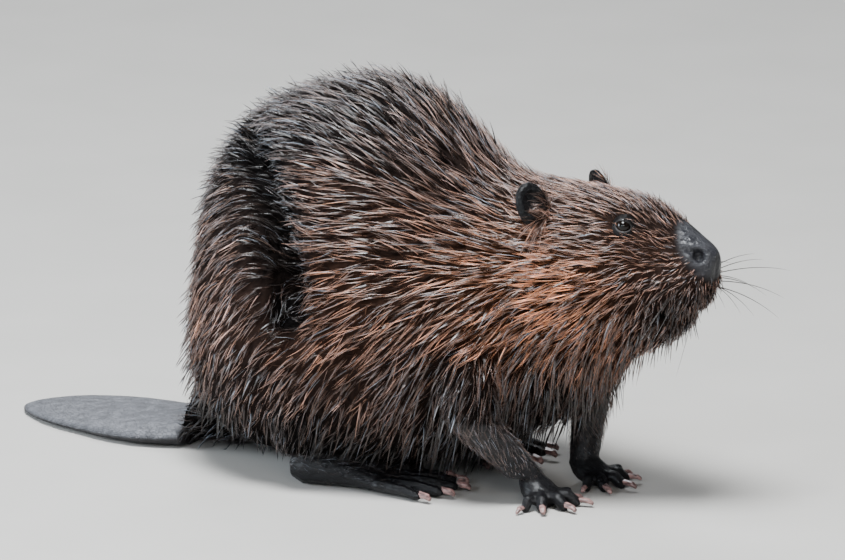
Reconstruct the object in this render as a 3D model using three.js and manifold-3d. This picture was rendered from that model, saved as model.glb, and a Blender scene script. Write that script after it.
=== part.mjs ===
// A beaver standing on all fours with its back arched, at life size.
//
// Units are millimetres. +X points ahead of the animal, +Y to its left and +Z up. The floor is z = 0.
// The solids follow the outline of the wet coat, and of the bare skin on the feet, nose and tail.
// The body is one loft from rump to nose, parted into named pieces with thin cuts. The legs, ears
// and tail are lofts of their own, trimmed where they meet it.

import * as THREE from "three";
import { mergeVertices } from "three/addons/utils/BufferGeometryUtils.js";
import Module from "manifold-3d";

const wasm = await Module();
wasm.setup();

// ---------------------------------------------------------------- driving dimensions

const GAP = 0.3; // between pieces that touch
const SIDES = { right: -1, left: 1 };

// The two ends, where the sections close: how long the closing takes and how square it is in each direction.
const RUMP = { x: -200, z: 104, capLength: 112, squareAcross: 2.05, squareUp: 3.2, squareDown: 3.2 };
const NOSE_TIP = { x: 257, z: 206, capLength: 44, squareAcross: 2.05, squareUp: 3, squareDown: 2.1 };

// Each line gives the body's outline as [x, value] pairs, from rump to nose.
const BACK_LINE = [
  [-200, 276], [-150, 286], [-112, 298], [-80, 308], [-46, 314], [-18, 311], [6, 301], [28, 284],
  [50, 266], [70, 254], [92, 249], [125, 249], [165, 247], [192, 243], [212, 237], [235, 224], [257, 214],
];
const BELLY_LINE = [
  [-200, 18], [-150, 12], [-100, 8], [-40, 8], [10, 12], [50, 23], [84, 38], [108, 50], [130, 58],
  [146, 70], [160, 93], [172, 109], [190, 119], [210, 128], [226, 138], [240, 149], [257, 158],
];
const WIDEST_HEIGHT = [
  [-200, 98], [-120, 104], [-45, 112], [20, 122], [70, 136], [110, 152], [150, 170], [190, 178], [257, 184],
];
const HALF_WIDTH = [
  [-200, 118], [-150, 122], [-100, 124], [-45, 125], [0, 117], [40, 102], [75, 86], [105, 72], [130, 63],
  [155, 58], [180, 52], [200, 44], [218, 36], [235, 31], [257, 26],
];
// How square the section is above and below its widest height: 2 is an ellipse.
const ROUNDNESS_ABOVE = [
  [-200, 2], [-100, 1.95], [-40, 1.8], [40, 1.75], [100, 2], [150, 2.2], [200, 2], [257, 1.7],
];
const ROUNDNESS_BELOW = [[-200, 2.4], [0, 2.6], [80, 2.2], [130, 2], [257, 2.2]];

// Muscles, fat and hollows that raise or sink both flanks: centre, spread and height, seen from the side.
const MASSES = [
  { name: "haunch", x: -98, z: 122, spreadX: 58, spreadZ: 64, height: 8 },
  { name: "shoulder", x: 76, z: 132, spreadX: 32, spreadZ: 46, height: 7 },
  { name: "neck hollow", x: 112, z: 150, spreadX: 14, spreadZ: 50, height: -4 },
  { name: "cheek", x: 166, z: 164, spreadX: 26, spreadZ: 28, height: 4 },
  { name: "temple", x: 162, z: 226, spreadX: 16, spreadZ: 12, height: -2 },
  { name: "whisker pad", x: 241, z: 176, spreadX: 12, spreadZ: 17, height: 3.5 },
  { name: "snout hollow", x: 220, z: 207, spreadX: 12, spreadZ: 13, height: -3 },
];
// The fold where the haunch meets the flank.
const FLANK_FOLD = { from: [-126, 276], to: [-52, 150], width: 12, depth: 11 };

const NECK_CUT = { top: [96, 262], bottom: [156, 84] }; // [x, z] behind the ears and under the throat
const SHOULDER_CUT = { top: [40, 290], bottom: [112, 30] };
const RUMP_CUT = { top: [-168, 300], bottom: [-150, 0] };
const THIGH = { x: -106, z: 112, radius: 80, inner: 74, facets: 22 };
const JAW_OUTLINE = [[182, 90], [182, 147], [221, 165], [266, 124], [266, 90]];
const NOSE_PAD = { x: 260, z: 206, alongX: 27, alongY: 19, alongZ: 20 };
const NOSTRIL = { x: 247, y: 12.5, z: 208, radius: 4 };

const EYE = { x: 189.5, y: 29.5, z: 227, radius: 5.6 };
const EAR = { height: 19, width: 13, thickness: 5.5, bowl: 0.74 };
const EARS = { // the left ear is laid a little lower and turned further out
  right: { at: [119, 48, 238], turn: 32 },
  left: { at: [125, 47, 230], turn: 58 },
};

const SHOULDER_Z = 118;
const ANKLE_Z = 27;
const FORELEGS = {
  right: { shoulder: [68, 66, SHOULDER_Z], elbow: [80, 78, 72], wrist: [117, 43, 17], turn: -17 },
  left: { shoulder: [91, 62, SHOULDER_Z], elbow: [116, 48, 72], wrist: [119, 31, 17], turn: -5 },
};
const FOREFOOT = {
  palm: 15, // wrist to the middle of the palm
  digits: [ // from the thumb outwards: angle from the foot's line, reach of the toe and length of the claw
    { angle: 72, reach: 16, radius: 4.2, claw: 6.5 },
    { angle: 34, reach: 24, radius: 5, claw: 11.5 },
    { angle: -1, reach: 25, radius: 5.2, claw: 11.5 },
    { angle: -38, reach: 21, radius: 5, claw: 10 },
    { angle: -76, reach: 17, radius: 4.6, claw: 8 },
  ],
};
const HIND_FEET = { right: { heel: [-64, 84], turn: 16 }, left: { heel: [-58, 85], turn: -13 } };
const HINDFOOT = {
  instep: 62, // heel to the roots of the toes
  rootSpacing: 9.5,
  digits: [ // from the inner toe outwards
    { angle: 26, reach: 46, radius: 5.2, claw: 8 },
    { angle: 15, reach: 57, radius: 5.8, claw: 9 },
    { angle: 3, reach: 62, radius: 6.2, claw: 9.5 },
    { angle: -9, reach: 56, radius: 6.2, claw: 9.5 },
    { angle: -21, reach: 44, radius: 5.8, claw: 9 },
  ],
  webThickness: 2.6,
};

// The tail, from tip to root: where its middle line runs, how wide each half is and how thick it is.
const TAIL = { tip: -377, base: -176, furEdge: -204, tipLength: 45, rimSquareness: 2.6 };
const TAIL_MIDDLE = [[-377, 3], [-340, 4], [-301, 3], [-263, -3], [-234, -6], [-200, -4], [-176, 0]];
const TAIL_HALF_WIDTH = [
  [-377, 26], [-345, 38], [-310, 50], [-274, 56], [-245, 55], [-220, 49], [-204, 43], [-176, 36],
];
const TAIL_THICKNESS = [[-377, 9], [-340, 11], [-280, 14], [-220, 20], [-176, 30]];

const COLOURS = {
  coat: { color: 0x3a2a22, roughness: 0.6 },
  cheek: { color: 0x6b4029, roughness: 0.65 },
  skin: { color: 0x1f1c1c, roughness: 0.45 },
  scales: { color: 0x55565a, roughness: 0.5 },
  claw: { color: 0x6e5650, roughness: 0.4 },
  eye: { color: 0x0c0a09, roughness: 0.1 },
};

// ---------------------------------------------------------------- shaping tools

const radians = THREE.MathUtils.degToRad;
const vector = (x, y, z) => new THREE.Vector3(x, y, z);

// A smooth curve through [position, value] pairs that never swings past them.
function profile(pairs) {
  const last = pairs.length - 1;
  const slope = (i) => (pairs[i + 1][1] - pairs[i][1]) / (pairs[i + 1][0] - pairs[i][0]);
  const tangents = pairs.map((_, i) => {
    if (i === 0) return slope(0);
    if (i === last) return slope(last - 1);
    const before = slope(i - 1);
    const after = slope(i);
    return before * after <= 0 ? 0 : (2 * before * after) / (before + after);
  });
  return (x) => {
    if (x <= pairs[0][0]) return pairs[0][1];
    if (x >= pairs[last][0]) return pairs[last][1];
    const i = pairs.findIndex(([position]) => position > x) - 1;
    const span = pairs[i + 1][0] - pairs[i][0];
    const t = (x - pairs[i][0]) / span;
    const rise = t * t * (3 - 2 * t);
    return (
      pairs[i][1] * (1 - rise) + pairs[i + 1][1] * rise +
      span * tangents[i] * t * (1 - t) * (1 - t) - span * tangents[i + 1] * t * t * (1 - t)
    );
  };
}

// A closed surface through rings of equal length, ending in a point at each end.
function closedLoft(startPole, rings, endPole) {
  const count = rings[0].length;
  const points = [startPole, ...rings.flat(), endPole];
  const index = [];
  const at = (ring, i) => 1 + ring * count + (i % count);
  for (let i = 0; i < count; i++) {
    index.push(0, at(0, i + 1), at(0, i));
    for (let ring = 0; ring < rings.length - 1; ring++) {
      const [a, b, c, d] = [at(ring, i), at(ring, i + 1), at(ring + 1, i + 1), at(ring + 1, i)];
      index.push(a, b, c, a, c, d);
    }
    index.push(points.length - 1, at(rings.length - 1, i), at(rings.length - 1, i + 1));
  }
  return new THREE.BufferGeometry().setFromPoints(points).setIndex(index);
}

// A limb with round ends along a smooth curve. Each joint gives a point, a half width and a half height.
function limb(joints, { sides, steps, up = vector(0, 0, 1), grow = 0 }) {
  const curve = new THREE.CatmullRomCurve3(joints.map((j) => j.at), false, "centripetal");
  const along = (key) => profile(joints.map((j, i) => [i / (joints.length - 1), j[key]]));
  const halfWidth = along("width");
  const halfHeight = along("height");
  const ring = (t, shift, shrink) => {
    const tangent = curve.getTangent(t);
    const across = up.clone().cross(tangent).normalize();
    const upward = tangent.clone().cross(across);
    const centre = curve.getPoint(t).addScaledVector(tangent, shift);
    return Array.from({ length: sides }, (_, i) => {
      const angle = (2 * Math.PI * i) / sides;
      return centre.clone()
        .addScaledVector(across, (halfWidth(t) + grow) * shrink * Math.cos(angle))
        .addScaledVector(upward, (halfHeight(t) + grow) * shrink * Math.sin(angle));
    });
  };
  const roundness = (t) => Math.min(halfWidth(t), halfHeight(t)) + grow;
  const capTurn = radians(50);
  const cap = (t, direction) => ring(t, direction * roundness(t) * Math.sin(capTurn), Math.cos(capTurn));
  const rings = Array.from({ length: steps + 1 }, (_, i) => ring(i / steps, 0, 1));
  const pole = (t, direction) =>
    curve.getPoint(t).addScaledVector(curve.getTangent(t), direction * roundness(t));
  return closedLoft(pole(0, -1), [cap(0, -1), ...rings, cap(1, 1)], pole(1, 1));
}

// Between three.js geometries and solids that can be joined and cut.
function solid(geometry) {
  const bare = new THREE.BufferGeometry()
    .setAttribute("position", geometry.getAttribute("position"))
    .setIndex(geometry.index);
  const merged = mergeVertices(bare, 1e-3);
  const made = new wasm.Manifold(
    new wasm.Mesh({
      numProp: 3,
      vertProperties: merged.attributes.position.array,
      triVerts: new Uint32Array(merged.index.array),
    }),
  );
  if (made.volume() < 0) throw new Error("a geometry is inside out");
  return made;
}

function geometryOf(part) {
  const mesh = part.getMesh();
  const positions = new Float32Array(mesh.numVert * 3);
  for (let i = 0; i < mesh.numVert; i++) {
    positions.set(mesh.vertProperties.subarray(i * mesh.numProp, i * mesh.numProp + 3), i * 3);
  }
  return new THREE.BufferGeometry()
    .setAttribute("position", new THREE.BufferAttribute(positions, 3))
    .setIndex(new THREE.BufferAttribute(mesh.triVerts, 1));
}

const ROOM = 1000; // longer than the animal, for cutters that pass right through it
const block = (x, y, z) => solid(new THREE.BoxGeometry(ROOM, ROOM, ROOM).translate(x, y, z));
const above = (z) => block(0, 0, z + ROOM / 2);
const below = (z) => block(0, 0, z - ROOM / 2);
const ahead = (x) => block(x + ROOM / 2, 0, 0);
const aboveFloor = (part) => part.intersect(above(0));

const mainPiece = (part) => part.decompose().reduce((a, b) => (a.volume() > b.volume() ? a : b));

// A thin upright cut across the body through two [x, z] points.
function thinCut({ top, bottom }) {
  const lean = Math.atan2(top[0] - bottom[0], top[1] - bottom[1]);
  const middle = [(top[0] + bottom[0]) / 2, (top[1] + bottom[1]) / 2];
  const plate = new THREE.BoxGeometry(GAP, ROOM, ROOM);
  return solid(plate.rotateY(lean).translate(middle[0], 0, middle[1]));
}

const ellipsoid = (size, at, detail) =>
  new THREE.SphereGeometry(1, detail, Math.round(detail * 0.65)).scale(...size).translate(...at);

// ---------------------------------------------------------------- the body's loft

const body = {
  top: profile(BACK_LINE),
  bottom: profile(BELLY_LINE),
  widest: profile(WIDEST_HEIGHT),
  halfWidth: profile(HALF_WIDTH),
  roundAbove: profile(ROUNDNESS_ABOVE),
  roundBelow: profile(ROUNDNESS_BELOW),
};

// How far the section at x has closed towards the nearer end: 1 along the body, 0 at its tip.
function fullness(x, squareness) {
  const end = x < 0 ? RUMP : NOSE_TIP;
  const into = Math.max(0, 1 - Math.abs(end.x - x) / end.capLength);
  return Math.max(0, 1 - into ** end[squareness]) ** (1 / end[squareness]);
}

function distanceToFold(x, z) {
  const from = new THREE.Vector2(...FLANK_FOLD.from);
  const along = new THREE.Vector2(...FLANK_FOLD.to).sub(from);
  const place = new THREE.Vector2(x, z).sub(from);
  const t = THREE.MathUtils.clamp(place.dot(along) / along.lengthSq(), 0, 1);
  return place.distanceTo(along.multiplyScalar(t));
}

// How far the muscles and folds move the outline at a place on the flank.
function relief(x, z) {
  const bell = (distance, spread) => Math.exp(-((distance / spread) ** 2));
  const raised = MASSES.reduce(
    (sum, m) => sum + m.height * bell(x - m.x, m.spreadX) * bell(z - m.z, m.spreadZ), 0);
  return raised - FLANK_FOLD.depth * bell(distanceToFold(x, z), FLANK_FOLD.width);
}

function bodyPoint(x, angle, grow) {
  const across = Math.cos(angle);
  const upward = Math.sin(angle);
  const roundness = upward > 0 ? body.roundAbove(x) : body.roundBelow(x);
  const swell = (v) => Math.sign(v) * Math.abs(v) ** (2 / roundness);
  const reach = upward > 0 ? body.top(x) - body.widest(x) : body.widest(x) - body.bottom(x);
  const pole = x < 0 ? RUMP.z : NOSE_TIP.z;
  const full = fullness(x, "squareAcross");
  const tall = fullness(x, upward > 0 ? "squareUp" : "squareDown");
  const y = body.halfWidth(x) * swell(across) * full;
  const z = pole + (body.widest(x) + reach * swell(upward) - pole) * tall;
  const outward = vector(0, across, upward).normalize();
  const lateral = THREE.MathUtils.smoothstep(Math.abs(across), 0.15, 0.6);
  return vector(x, y, z).addScaledVector(outward, relief(x, z) * lateral * full + grow);
}

function bodyGeometry(grow = 0) {
  const sides = 26;
  const capSteps = 6;
  const capRings = (end, direction) =>
    Array.from({ length: capSteps }, (_, i) => {
      const turn = (Math.PI / 2) * ((i + 0.35) / capSteps);
      return end.x + direction * end.capLength * (1 - Math.cos(turn));
    });
  const between = (from, to, step) => {
    const count = Math.round((to - from) / step);
    return Array.from({ length: count }, (_, i) => from + ((i + 0.5) * (to - from)) / count);
  };
  const trunkStart = RUMP.x + RUMP.capLength;
  const headStart = 120;
  const headEnd = NOSE_TIP.x - NOSE_TIP.capLength;
  const stations = [
    ...capRings(RUMP, 1),
    ...between(trunkStart, headStart, 21),
    ...between(headStart, headEnd, 12.5),
    ...capRings(NOSE_TIP, -1).reverse(),
  ];
  const rings = stations.map((x) =>
    Array.from({ length: sides }, (_, i) => bodyPoint(x, (2 * Math.PI * i) / sides, grow)),
  );
  return closedLoft(vector(RUMP.x - grow, 0, RUMP.z), rings, vector(NOSE_TIP.x + grow, 0, NOSE_TIP.z));
}

// ---------------------------------------------------------------- legs and feet

const mirrored = (point, sign) => vector(point[0], point[1] * sign, point[2]);

function foreleg(name) {
  const sign = SIDES[name];
  const plan = FORELEGS[name];
  const [shoulder, elbow, wrist] = [plan.shoulder, plan.elbow, plan.wrist].map((p) => mirrored(p, sign));
  const upperArm = limb(
    [
      { at: shoulder, width: 30, height: 33 },
      { at: elbow.clone().lerp(shoulder, 0.35), width: 26, height: 31 },
      { at: elbow, width: 19, height: 23 },
    ],
    { sides: 10, steps: 4, up: vector(1, 0, 0) },
  );
  const forearm = limb(
    [
      { at: elbow.clone().lerp(wrist, 0.02), width: 18, height: 19 },
      { at: elbow.clone().lerp(wrist, 0.5), width: 14.5, height: 15 },
      { at: wrist, width: 11.5, height: 11.5 },
    ],
    { sides: 10, steps: 4, up: vector(1, 0, 0) },
  );
  return { upperArm, forearm, wrist };
}

// A toe from root to tip with a claw beyond it: a blunt curved nail that ends against the toe.
function toe({ root, heading, reach, radius, claw, arch }) {
  const forward = vector(Math.cos(heading), Math.sin(heading), 0);
  const place = (distance, z) => root.clone().addScaledVector(forward, distance).setZ(z);
  const flesh = (grow) =>
    solid(
      limb(
        [
          { at: root, width: radius * 1.1, height: radius * 1.1 },
          { at: place(reach * 0.55, arch), width: radius, height: radius },
          { at: place(reach - radius, radius * 0.8), width: radius * 0.95, height: radius * 0.95 },
        ],
        { sides: 6, steps: 2, grow },
      ),
    );
  const nail = limb(
    [
      { at: place(reach - radius * 0.9, radius * 1.15), width: radius * 0.6, height: radius * 0.48 },
      { at: place(reach + claw * 0.5, radius * 1.0), width: radius * 0.55, height: radius * 0.42 },
      { at: place(reach + claw, radius * 0.42), width: 1.3, height: 1 },
    ],
    { sides: 5, steps: 2 },
  );
  return { flesh: flesh(0), nail: mainPiece(aboveFloor(solid(nail)).subtract(flesh(GAP))) };
}

function forefoot(name, wrist) {
  const sign = SIDES[name];
  const line = radians(FORELEGS[name].turn);
  const forward = vector(Math.cos(line), Math.sin(line), 0);
  const palm = wrist.clone().addScaledVector(forward, FOREFOOT.palm).setZ(9);
  const back = solid(
    limb(
      [
        { at: wrist.clone().setZ(15), width: 12, height: 12 },
        { at: wrist.clone().lerp(palm, 0.55).setZ(10), width: 15, height: 11 },
        { at: palm.clone().setZ(7.5), width: 15, height: 9 },
      ],
      { sides: 10, steps: 3 },
    ),
  );
  const toes = FOREFOOT.digits.map((digit) => {
    const heading = line - sign * radians(digit.angle);
    const out = vector(-Math.sin(line), Math.cos(line), 0).multiplyScalar(sign * digit.angle * -0.16);
    return toe({ ...digit, heading, root: palm.clone().add(out).setZ(8.5), arch: 9 });
  });
  return joinFoot(back, toes);
}

function hindfoot(name) {
  const sign = SIDES[name];
  const { heel, turn } = HIND_FEET[name];
  const line = radians(turn);
  const forward = vector(Math.cos(line), Math.sin(line), 0);
  const outward = vector(-Math.sin(line), Math.cos(line), 0).multiplyScalar(sign);
  const start = vector(heel[0], heel[1] * sign, 15);
  const place = (distance, out, z) =>
    start.clone().addScaledVector(forward, distance).addScaledVector(outward, out).setZ(z);
  const instep = solid(
    limb(
      [
        { at: start, width: 15, height: 17 },
        { at: place(HINDFOOT.instep * 0.5, 0, 12.5), width: 17, height: 14 },
        { at: place(HINDFOOT.instep, 0, 7.5), width: 25, height: 9.5 },
      ],
      { sides: 10, steps: 3 },
    ),
  );
  const roots = HINDFOOT.digits.map((_, i) => (i - 2) * HINDFOOT.rootSpacing);
  const toes = HINDFOOT.digits.map((digit, i) => {
    const heading = line - sign * radians(digit.angle);
    const rootAt = place(HINDFOOT.instep, roots[i], 8);
    return toe({ ...digit, heading, root: rootAt, arch: digit.radius * 1.3 });
  });
  return joinFoot(instep.add(web(line, sign, place, roots)), toes);
}

// The thin skin between the hind toes: a fan with a shallow scallop between each pair of toes.
function web(line, sign, place, roots) {
  const outline = new THREE.Shape();
  const edge = HINDFOOT.digits.map((digit, i) => {
    const heading = line - sign * radians(digit.angle);
    const from = place(HINDFOOT.instep, roots[i], 0);
    return from.addScaledVector(vector(Math.cos(heading), Math.sin(heading), 0), digit.reach * 0.86);
  });
  const inner = place(HINDFOOT.instep - 8, roots[0], 0);
  const outer = place(HINDFOOT.instep - 8, roots[roots.length - 1], 0);
  const rootsMiddle = inner.clone().lerp(outer, 0.5);
  outline.moveTo(inner.x, inner.y);
  edge.forEach((point, i) => {
    if (i === 0) {
      outline.lineTo(point.x, point.y);
      return;
    }
    const scallop = edge[i - 1].clone().lerp(point, 0.5).lerp(rootsMiddle, 0.16);
    outline.quadraticCurveTo(scallop.x, scallop.y, point.x, point.y);
  });
  outline.lineTo(outer.x, outer.y);
  outline.closePath();
  const plate = new THREE.ExtrudeGeometry(outline, {
    depth: HINDFOOT.webThickness, bevelEnabled: false, curveSegments: 2,
  });
  return solid(plate.translate(0, 0, 1.6));
}

function joinFoot(start, toes) {
  const flesh = aboveFloor(toes.reduce((foot, toe) => foot.add(toe.flesh), start));
  return { flesh, nails: toes.map(({ nail }) => nail) };
}

// The shank shows only as a furry cuff between the haunch and the heel.
function shank(name) {
  const sign = SIDES[name];
  const { heel } = HIND_FEET[name];
  return limb(
    [
      { at: vector(heel[0] + 4, (heel[1] + 8) * sign, 64), width: 36, height: 34 },
      { at: vector(heel[0] + 2, (heel[1] + 6) * sign, 44), width: 30, height: 26 },
      { at: vector(heel[0] + 1, heel[1] * sign, 25), width: 21, height: 18 },
    ],
    { sides: 10, steps: 3, up: vector(1, 0, 0) },
  );
}

// ---------------------------------------------------------------- tail, ears, eyes and nose

const tail = {
  middle: profile(TAIL_MIDDLE),
  halfWidth: profile(TAIL_HALF_WIDTH),
  thickness: profile(TAIL_THICKNESS),
};

// The paddle: an oval plate with a thick round rim, lying on the floor.
function tailPaddle() {
  const steps = 14;
  const sides = 14;
  const swell = (v, squareness) => Math.sign(v) * Math.abs(v) ** (2 / squareness);
  const rings = Array.from({ length: steps }, (_, i) => {
    const t = (i + 0.4) / (steps - 0.6);
    const x = TAIL.tip + (TAIL.base - TAIL.tip) * t ** 1.5;
    const closing = Math.sqrt(1 - Math.max(0, 1 - (x - TAIL.tip) / TAIL.tipLength) ** 2);
    const halfWidth = tail.halfWidth(x) * closing;
    const halfHeight = (tail.thickness(x) / 2) * closing ** 0.5;
    return Array.from({ length: sides }, (_, k) => {
      const angle = (-2 * Math.PI * k) / sides;
      const y = tail.middle(x) + halfWidth * swell(Math.cos(angle), 2);
      return vector(x, y, halfHeight * (0.85 + swell(Math.sin(angle), TAIL.rimSquareness)));
    });
  });
  const middleOf = (x) => vector(x, tail.middle(x), tail.thickness(x) * 0.35);
  return closedLoft(middleOf(TAIL.base + 4), rings.reverse(), middleOf(TAIL.tip));
}

function tailRoot() {
  return limb(
    [
      { at: vector(TAIL.base + 50, 0, 66), width: 66, height: 58 },
      { at: vector(TAIL.base + 8, 0, 40), width: 57, height: 41 },
      { at: vector(TAIL.furEdge - 6, tail.middle(TAIL.furEdge), 19), width: 44, height: 19.5 },
    ],
    { sides: 14, steps: 4 },
  );
}

// A small round ear: a lens-shaped lobe with a bowl hollowed out of its front, leaning back and outward.
function ear(name) {
  const sign = SIDES[name];
  const lobe = solid(ellipsoid([EAR.thickness, EAR.width, EAR.height], [0, 0, 0], 10));
  const bowl = solid(
    ellipsoid(
      [EAR.thickness * 1.1, EAR.width * EAR.bowl, EAR.height * EAR.bowl],
      [EAR.thickness * 0.95, 0, EAR.height * 0.1],
      8,
    ),
  );
  const { at, turn } = EARS[name];
  const lean = new THREE.Euler(radians(-14) * sign, radians(-16), radians(turn) * sign, "ZYX");
  const place = new THREE.Matrix4().makeRotationFromEuler(lean).setPosition(mirrored(at, sign));
  return solid(geometryOf(lobe.subtract(bowl)).applyMatrix4(place));
}

const eyeball = (sign, radius) => ellipsoid([radius, radius, radius], [EYE.x, EYE.y * sign, EYE.z], 8);

function nosePad(grow) {
  const size = [NOSE_PAD.alongX + grow, NOSE_PAD.alongY + grow, NOSE_PAD.alongZ + grow];
  return solid(ellipsoid(size, [NOSE_PAD.x, 0, NOSE_PAD.z], 11));
}

function nostrils() {
  const pit = (sign) =>
    solid(
      ellipsoid(
        [NOSTRIL.radius * 1.25, NOSTRIL.radius, NOSTRIL.radius * 0.8],
        [NOSTRIL.x, NOSTRIL.y * sign, NOSTRIL.z],
        5,
      ),
    );
  return pit(-1).add(pit(1));
}

// ---------------------------------------------------------------- parting the body into named pieces

const prism = (outline, grow) => {
  const shape = new THREE.Shape(outline.map(([x, z]) => new THREE.Vector2(x, -z)));
  const plate = new THREE.ExtrudeGeometry(shape, { depth: ROOM, bevelEnabled: false });
  return solid(plate.translate(0, 0, -ROOM / 2).rotateX(-Math.PI / 2).translate(-grow, 0, grow));
};

function thighPlug(sign, grow) {
  const disc = new THREE.CylinderGeometry(THIGH.radius + grow, THIGH.radius + grow, ROOM, THIGH.facets);
  const middle = THIGH.inner - grow + ROOM / 2;
  return solid(disc.translate(THIGH.x, middle * sign, 0).translate(0, 0, THIGH.z));
}

function partBody() {
  const eyes = Object.values(SIDES).map((sign) => solid(eyeball(sign, EYE.radius + GAP)));
  const whole = eyes.reduce((rest, eye) => rest.subtract(eye), solid(bodyGeometry()));
  const pieces = new Map();
  pieces.set("nose", mainPiece(whole.intersect(nosePad(0)).subtract(nostrils())));
  let rest = whole.subtract(nosePad(GAP));
  pieces.set("jaw", mainPiece(rest.intersect(prism(JAW_OUTLINE, 0))));
  rest = rest.subtract(prism(JAW_OUTLINE, GAP)).subtract(prism(JAW_OUTLINE, 0));
  for (const [name, sign] of Object.entries(SIDES)) {
    pieces.set(`thigh_${name}`, mainPiece(rest.intersect(thighPlug(sign, 0))));
    rest = rest.subtract(thighPlug(sign, GAP));
  }
  for (const cut of [RUMP_CUT, SHOULDER_CUT, NECK_CUT]) rest = rest.subtract(thinCut(cut));
  const middle = (part) => {
    const bounds = part.boundingBox();
    return (bounds.min[0] + bounds.max[0]) / 2;
  };
  const lengths = rest.decompose().filter((part) => part.volume() > 1000);
  lengths.sort((a, b) => middle(a) - middle(b));
  ["rump", "trunk", "neck", "head"].forEach((name, i) => pieces.set(name, lengths[i]));
  return pieces;
}

// ---------------------------------------------------------------- the animal

const beaver = new THREE.Group();

function place(name, part, finish) {
  const material = new THREE.MeshStandardMaterial({ ...COLOURS[finish], metalness: 0 });
  const mesh = new THREE.Mesh(geometryOf(part), material);
  mesh.name = name;
  beaver.add(mesh);
}

const grownBody = solid(bodyGeometry(GAP * 2));
for (const [name, part] of partBody()) {
  const finish = name === "nose" ? "skin" : ["head", "jaw"].includes(name) ? "cheek" : "coat";
  place(name, part, finish);
}

const tailBase = aboveFloor(solid(tailRoot())).subtract(grownBody);
place("tail_root", mainPiece(tailBase.intersect(ahead(TAIL.furEdge))), "coat");
place("tail", mainPiece(aboveFloor(solid(tailPaddle())).subtract(ahead(TAIL.furEdge - GAP))), "scales");

for (const [name, sign] of Object.entries(SIDES)) {
  place(`ear_${name}`, mainPiece(ear(name).subtract(grownBody)), "skin");
  place(`eye_${name}`, solid(eyeball(sign, EYE.radius)), "eye");

  const { upperArm, forearm, wrist } = foreleg(name);
  const elbowZ = FORELEGS[name].elbow[2] - 4;
  const wristZ = wrist.z + 4;
  const lowerArm = solid(forearm).intersect(below(elbowZ - GAP)).intersect(above(wristZ));
  place(`upper_arm_${name}`, mainPiece(solid(upperArm).intersect(above(elbowZ)).subtract(grownBody)), "coat");
  place(`forearm_${name}`, mainPiece(lowerArm.subtract(grownBody)), "skin");

  const paw = forefoot(name, wrist);
  place(`forefoot_${name}`, mainPiece(paw.flesh.intersect(below(wristZ - GAP))), "skin");
  paw.nails.forEach((nail, i) => place(`claw_fore_${name}_${i + 1}`, nail, "claw"));

  const foot = hindfoot(name);
  const cuff = solid(shank(name)).intersect(above(ANKLE_Z));
  const lowFoot = foot.flesh.intersect(below(ANKLE_Z - GAP));
  place(`shank_${name}`, mainPiece(cuff.subtract(grownBody)), "coat");
  place(`hindfoot_${name}`, mainPiece(lowFoot.subtract(grownBody)), "skin");
  foot.nails.forEach((nail, i) => place(`claw_hind_${name}_${i + 1}`, nail, "claw"));
}

const bounds = new THREE.Box3().setFromObject(beaver);
const middle = bounds.getCenter(vector(0, 0, 0));
beaver.position.set(-middle.x, -middle.y, -bounds.min.z);

export default beaver;
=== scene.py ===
"""A wet beaver standing with its back arched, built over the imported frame.

One skin replaces the flesh nodes and lies under their outline by the coat's depth. The coat is made of
pointed wet locks, each a small bunch of tapered strands that meet at the lock's tip. Positions in tables
are millimetres in the frame: x ahead of the animal, y to its left and z up.
"""

import math
from dataclasses import dataclass

import bmesh
import bpy
import numpy as np
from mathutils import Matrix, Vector
from mathutils.bvhtree import BVHTree
from mathutils.kdtree import KDTree


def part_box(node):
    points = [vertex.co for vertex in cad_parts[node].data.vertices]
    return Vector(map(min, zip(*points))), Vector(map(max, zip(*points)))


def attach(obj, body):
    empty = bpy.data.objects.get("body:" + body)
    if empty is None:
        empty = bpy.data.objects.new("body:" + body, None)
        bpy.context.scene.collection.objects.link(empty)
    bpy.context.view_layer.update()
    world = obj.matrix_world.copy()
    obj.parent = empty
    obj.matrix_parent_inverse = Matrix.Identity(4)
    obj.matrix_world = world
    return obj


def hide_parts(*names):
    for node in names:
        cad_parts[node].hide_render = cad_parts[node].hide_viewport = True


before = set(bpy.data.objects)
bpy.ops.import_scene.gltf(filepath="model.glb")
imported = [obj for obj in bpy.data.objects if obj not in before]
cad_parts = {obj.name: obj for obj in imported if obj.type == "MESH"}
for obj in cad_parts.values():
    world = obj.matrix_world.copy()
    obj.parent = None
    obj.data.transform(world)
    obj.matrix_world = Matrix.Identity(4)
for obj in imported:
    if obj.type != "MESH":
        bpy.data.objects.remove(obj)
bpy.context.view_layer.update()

MM = 0.001
SIDES = {"right": -1, "left": 1}
SEED = 11

# ---------------- arithmetic on arrays of points


def smoothstep(low, high, value):
    t = np.clip((value - low) / (high - low), 0, 1)
    return t * t * (3 - 2 * t)


def unit(vectors):
    return vectors / np.maximum(np.linalg.norm(vectors, axis=-1, keepdims=True), 1e-9)


def across(vectors, normals):
    """What is left of the vectors along the surface."""
    return vectors - normals * (vectors * normals).sum(-1, keepdims=True)


def blend(a, b, share):
    return a * (1 - share[:, None]) + b * share[:, None]


def full_turn(count):
    """Angles spread evenly over a full turn."""
    return np.arange(count) * 2 * math.pi / count


def distance_to_line(points, line):
    best = np.full(len(points), 1e9)
    for start, end in zip(line, line[1:]):
        start, end = np.array(start, float), np.array(end, float)
        along = end - start
        t = np.clip((points - start) @ along / (along @ along), 0, 1)
        best = np.minimum(best, np.linalg.norm(points - start - t[:, None] * along, axis=1))
    return best


def mirrored_sides(points):
    """The points in millimetres with both sides laid on the left one."""
    folded = points / MM
    folded[:, 1] = np.abs(folded[:, 1])
    return folded


# ---------------- camera

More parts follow.
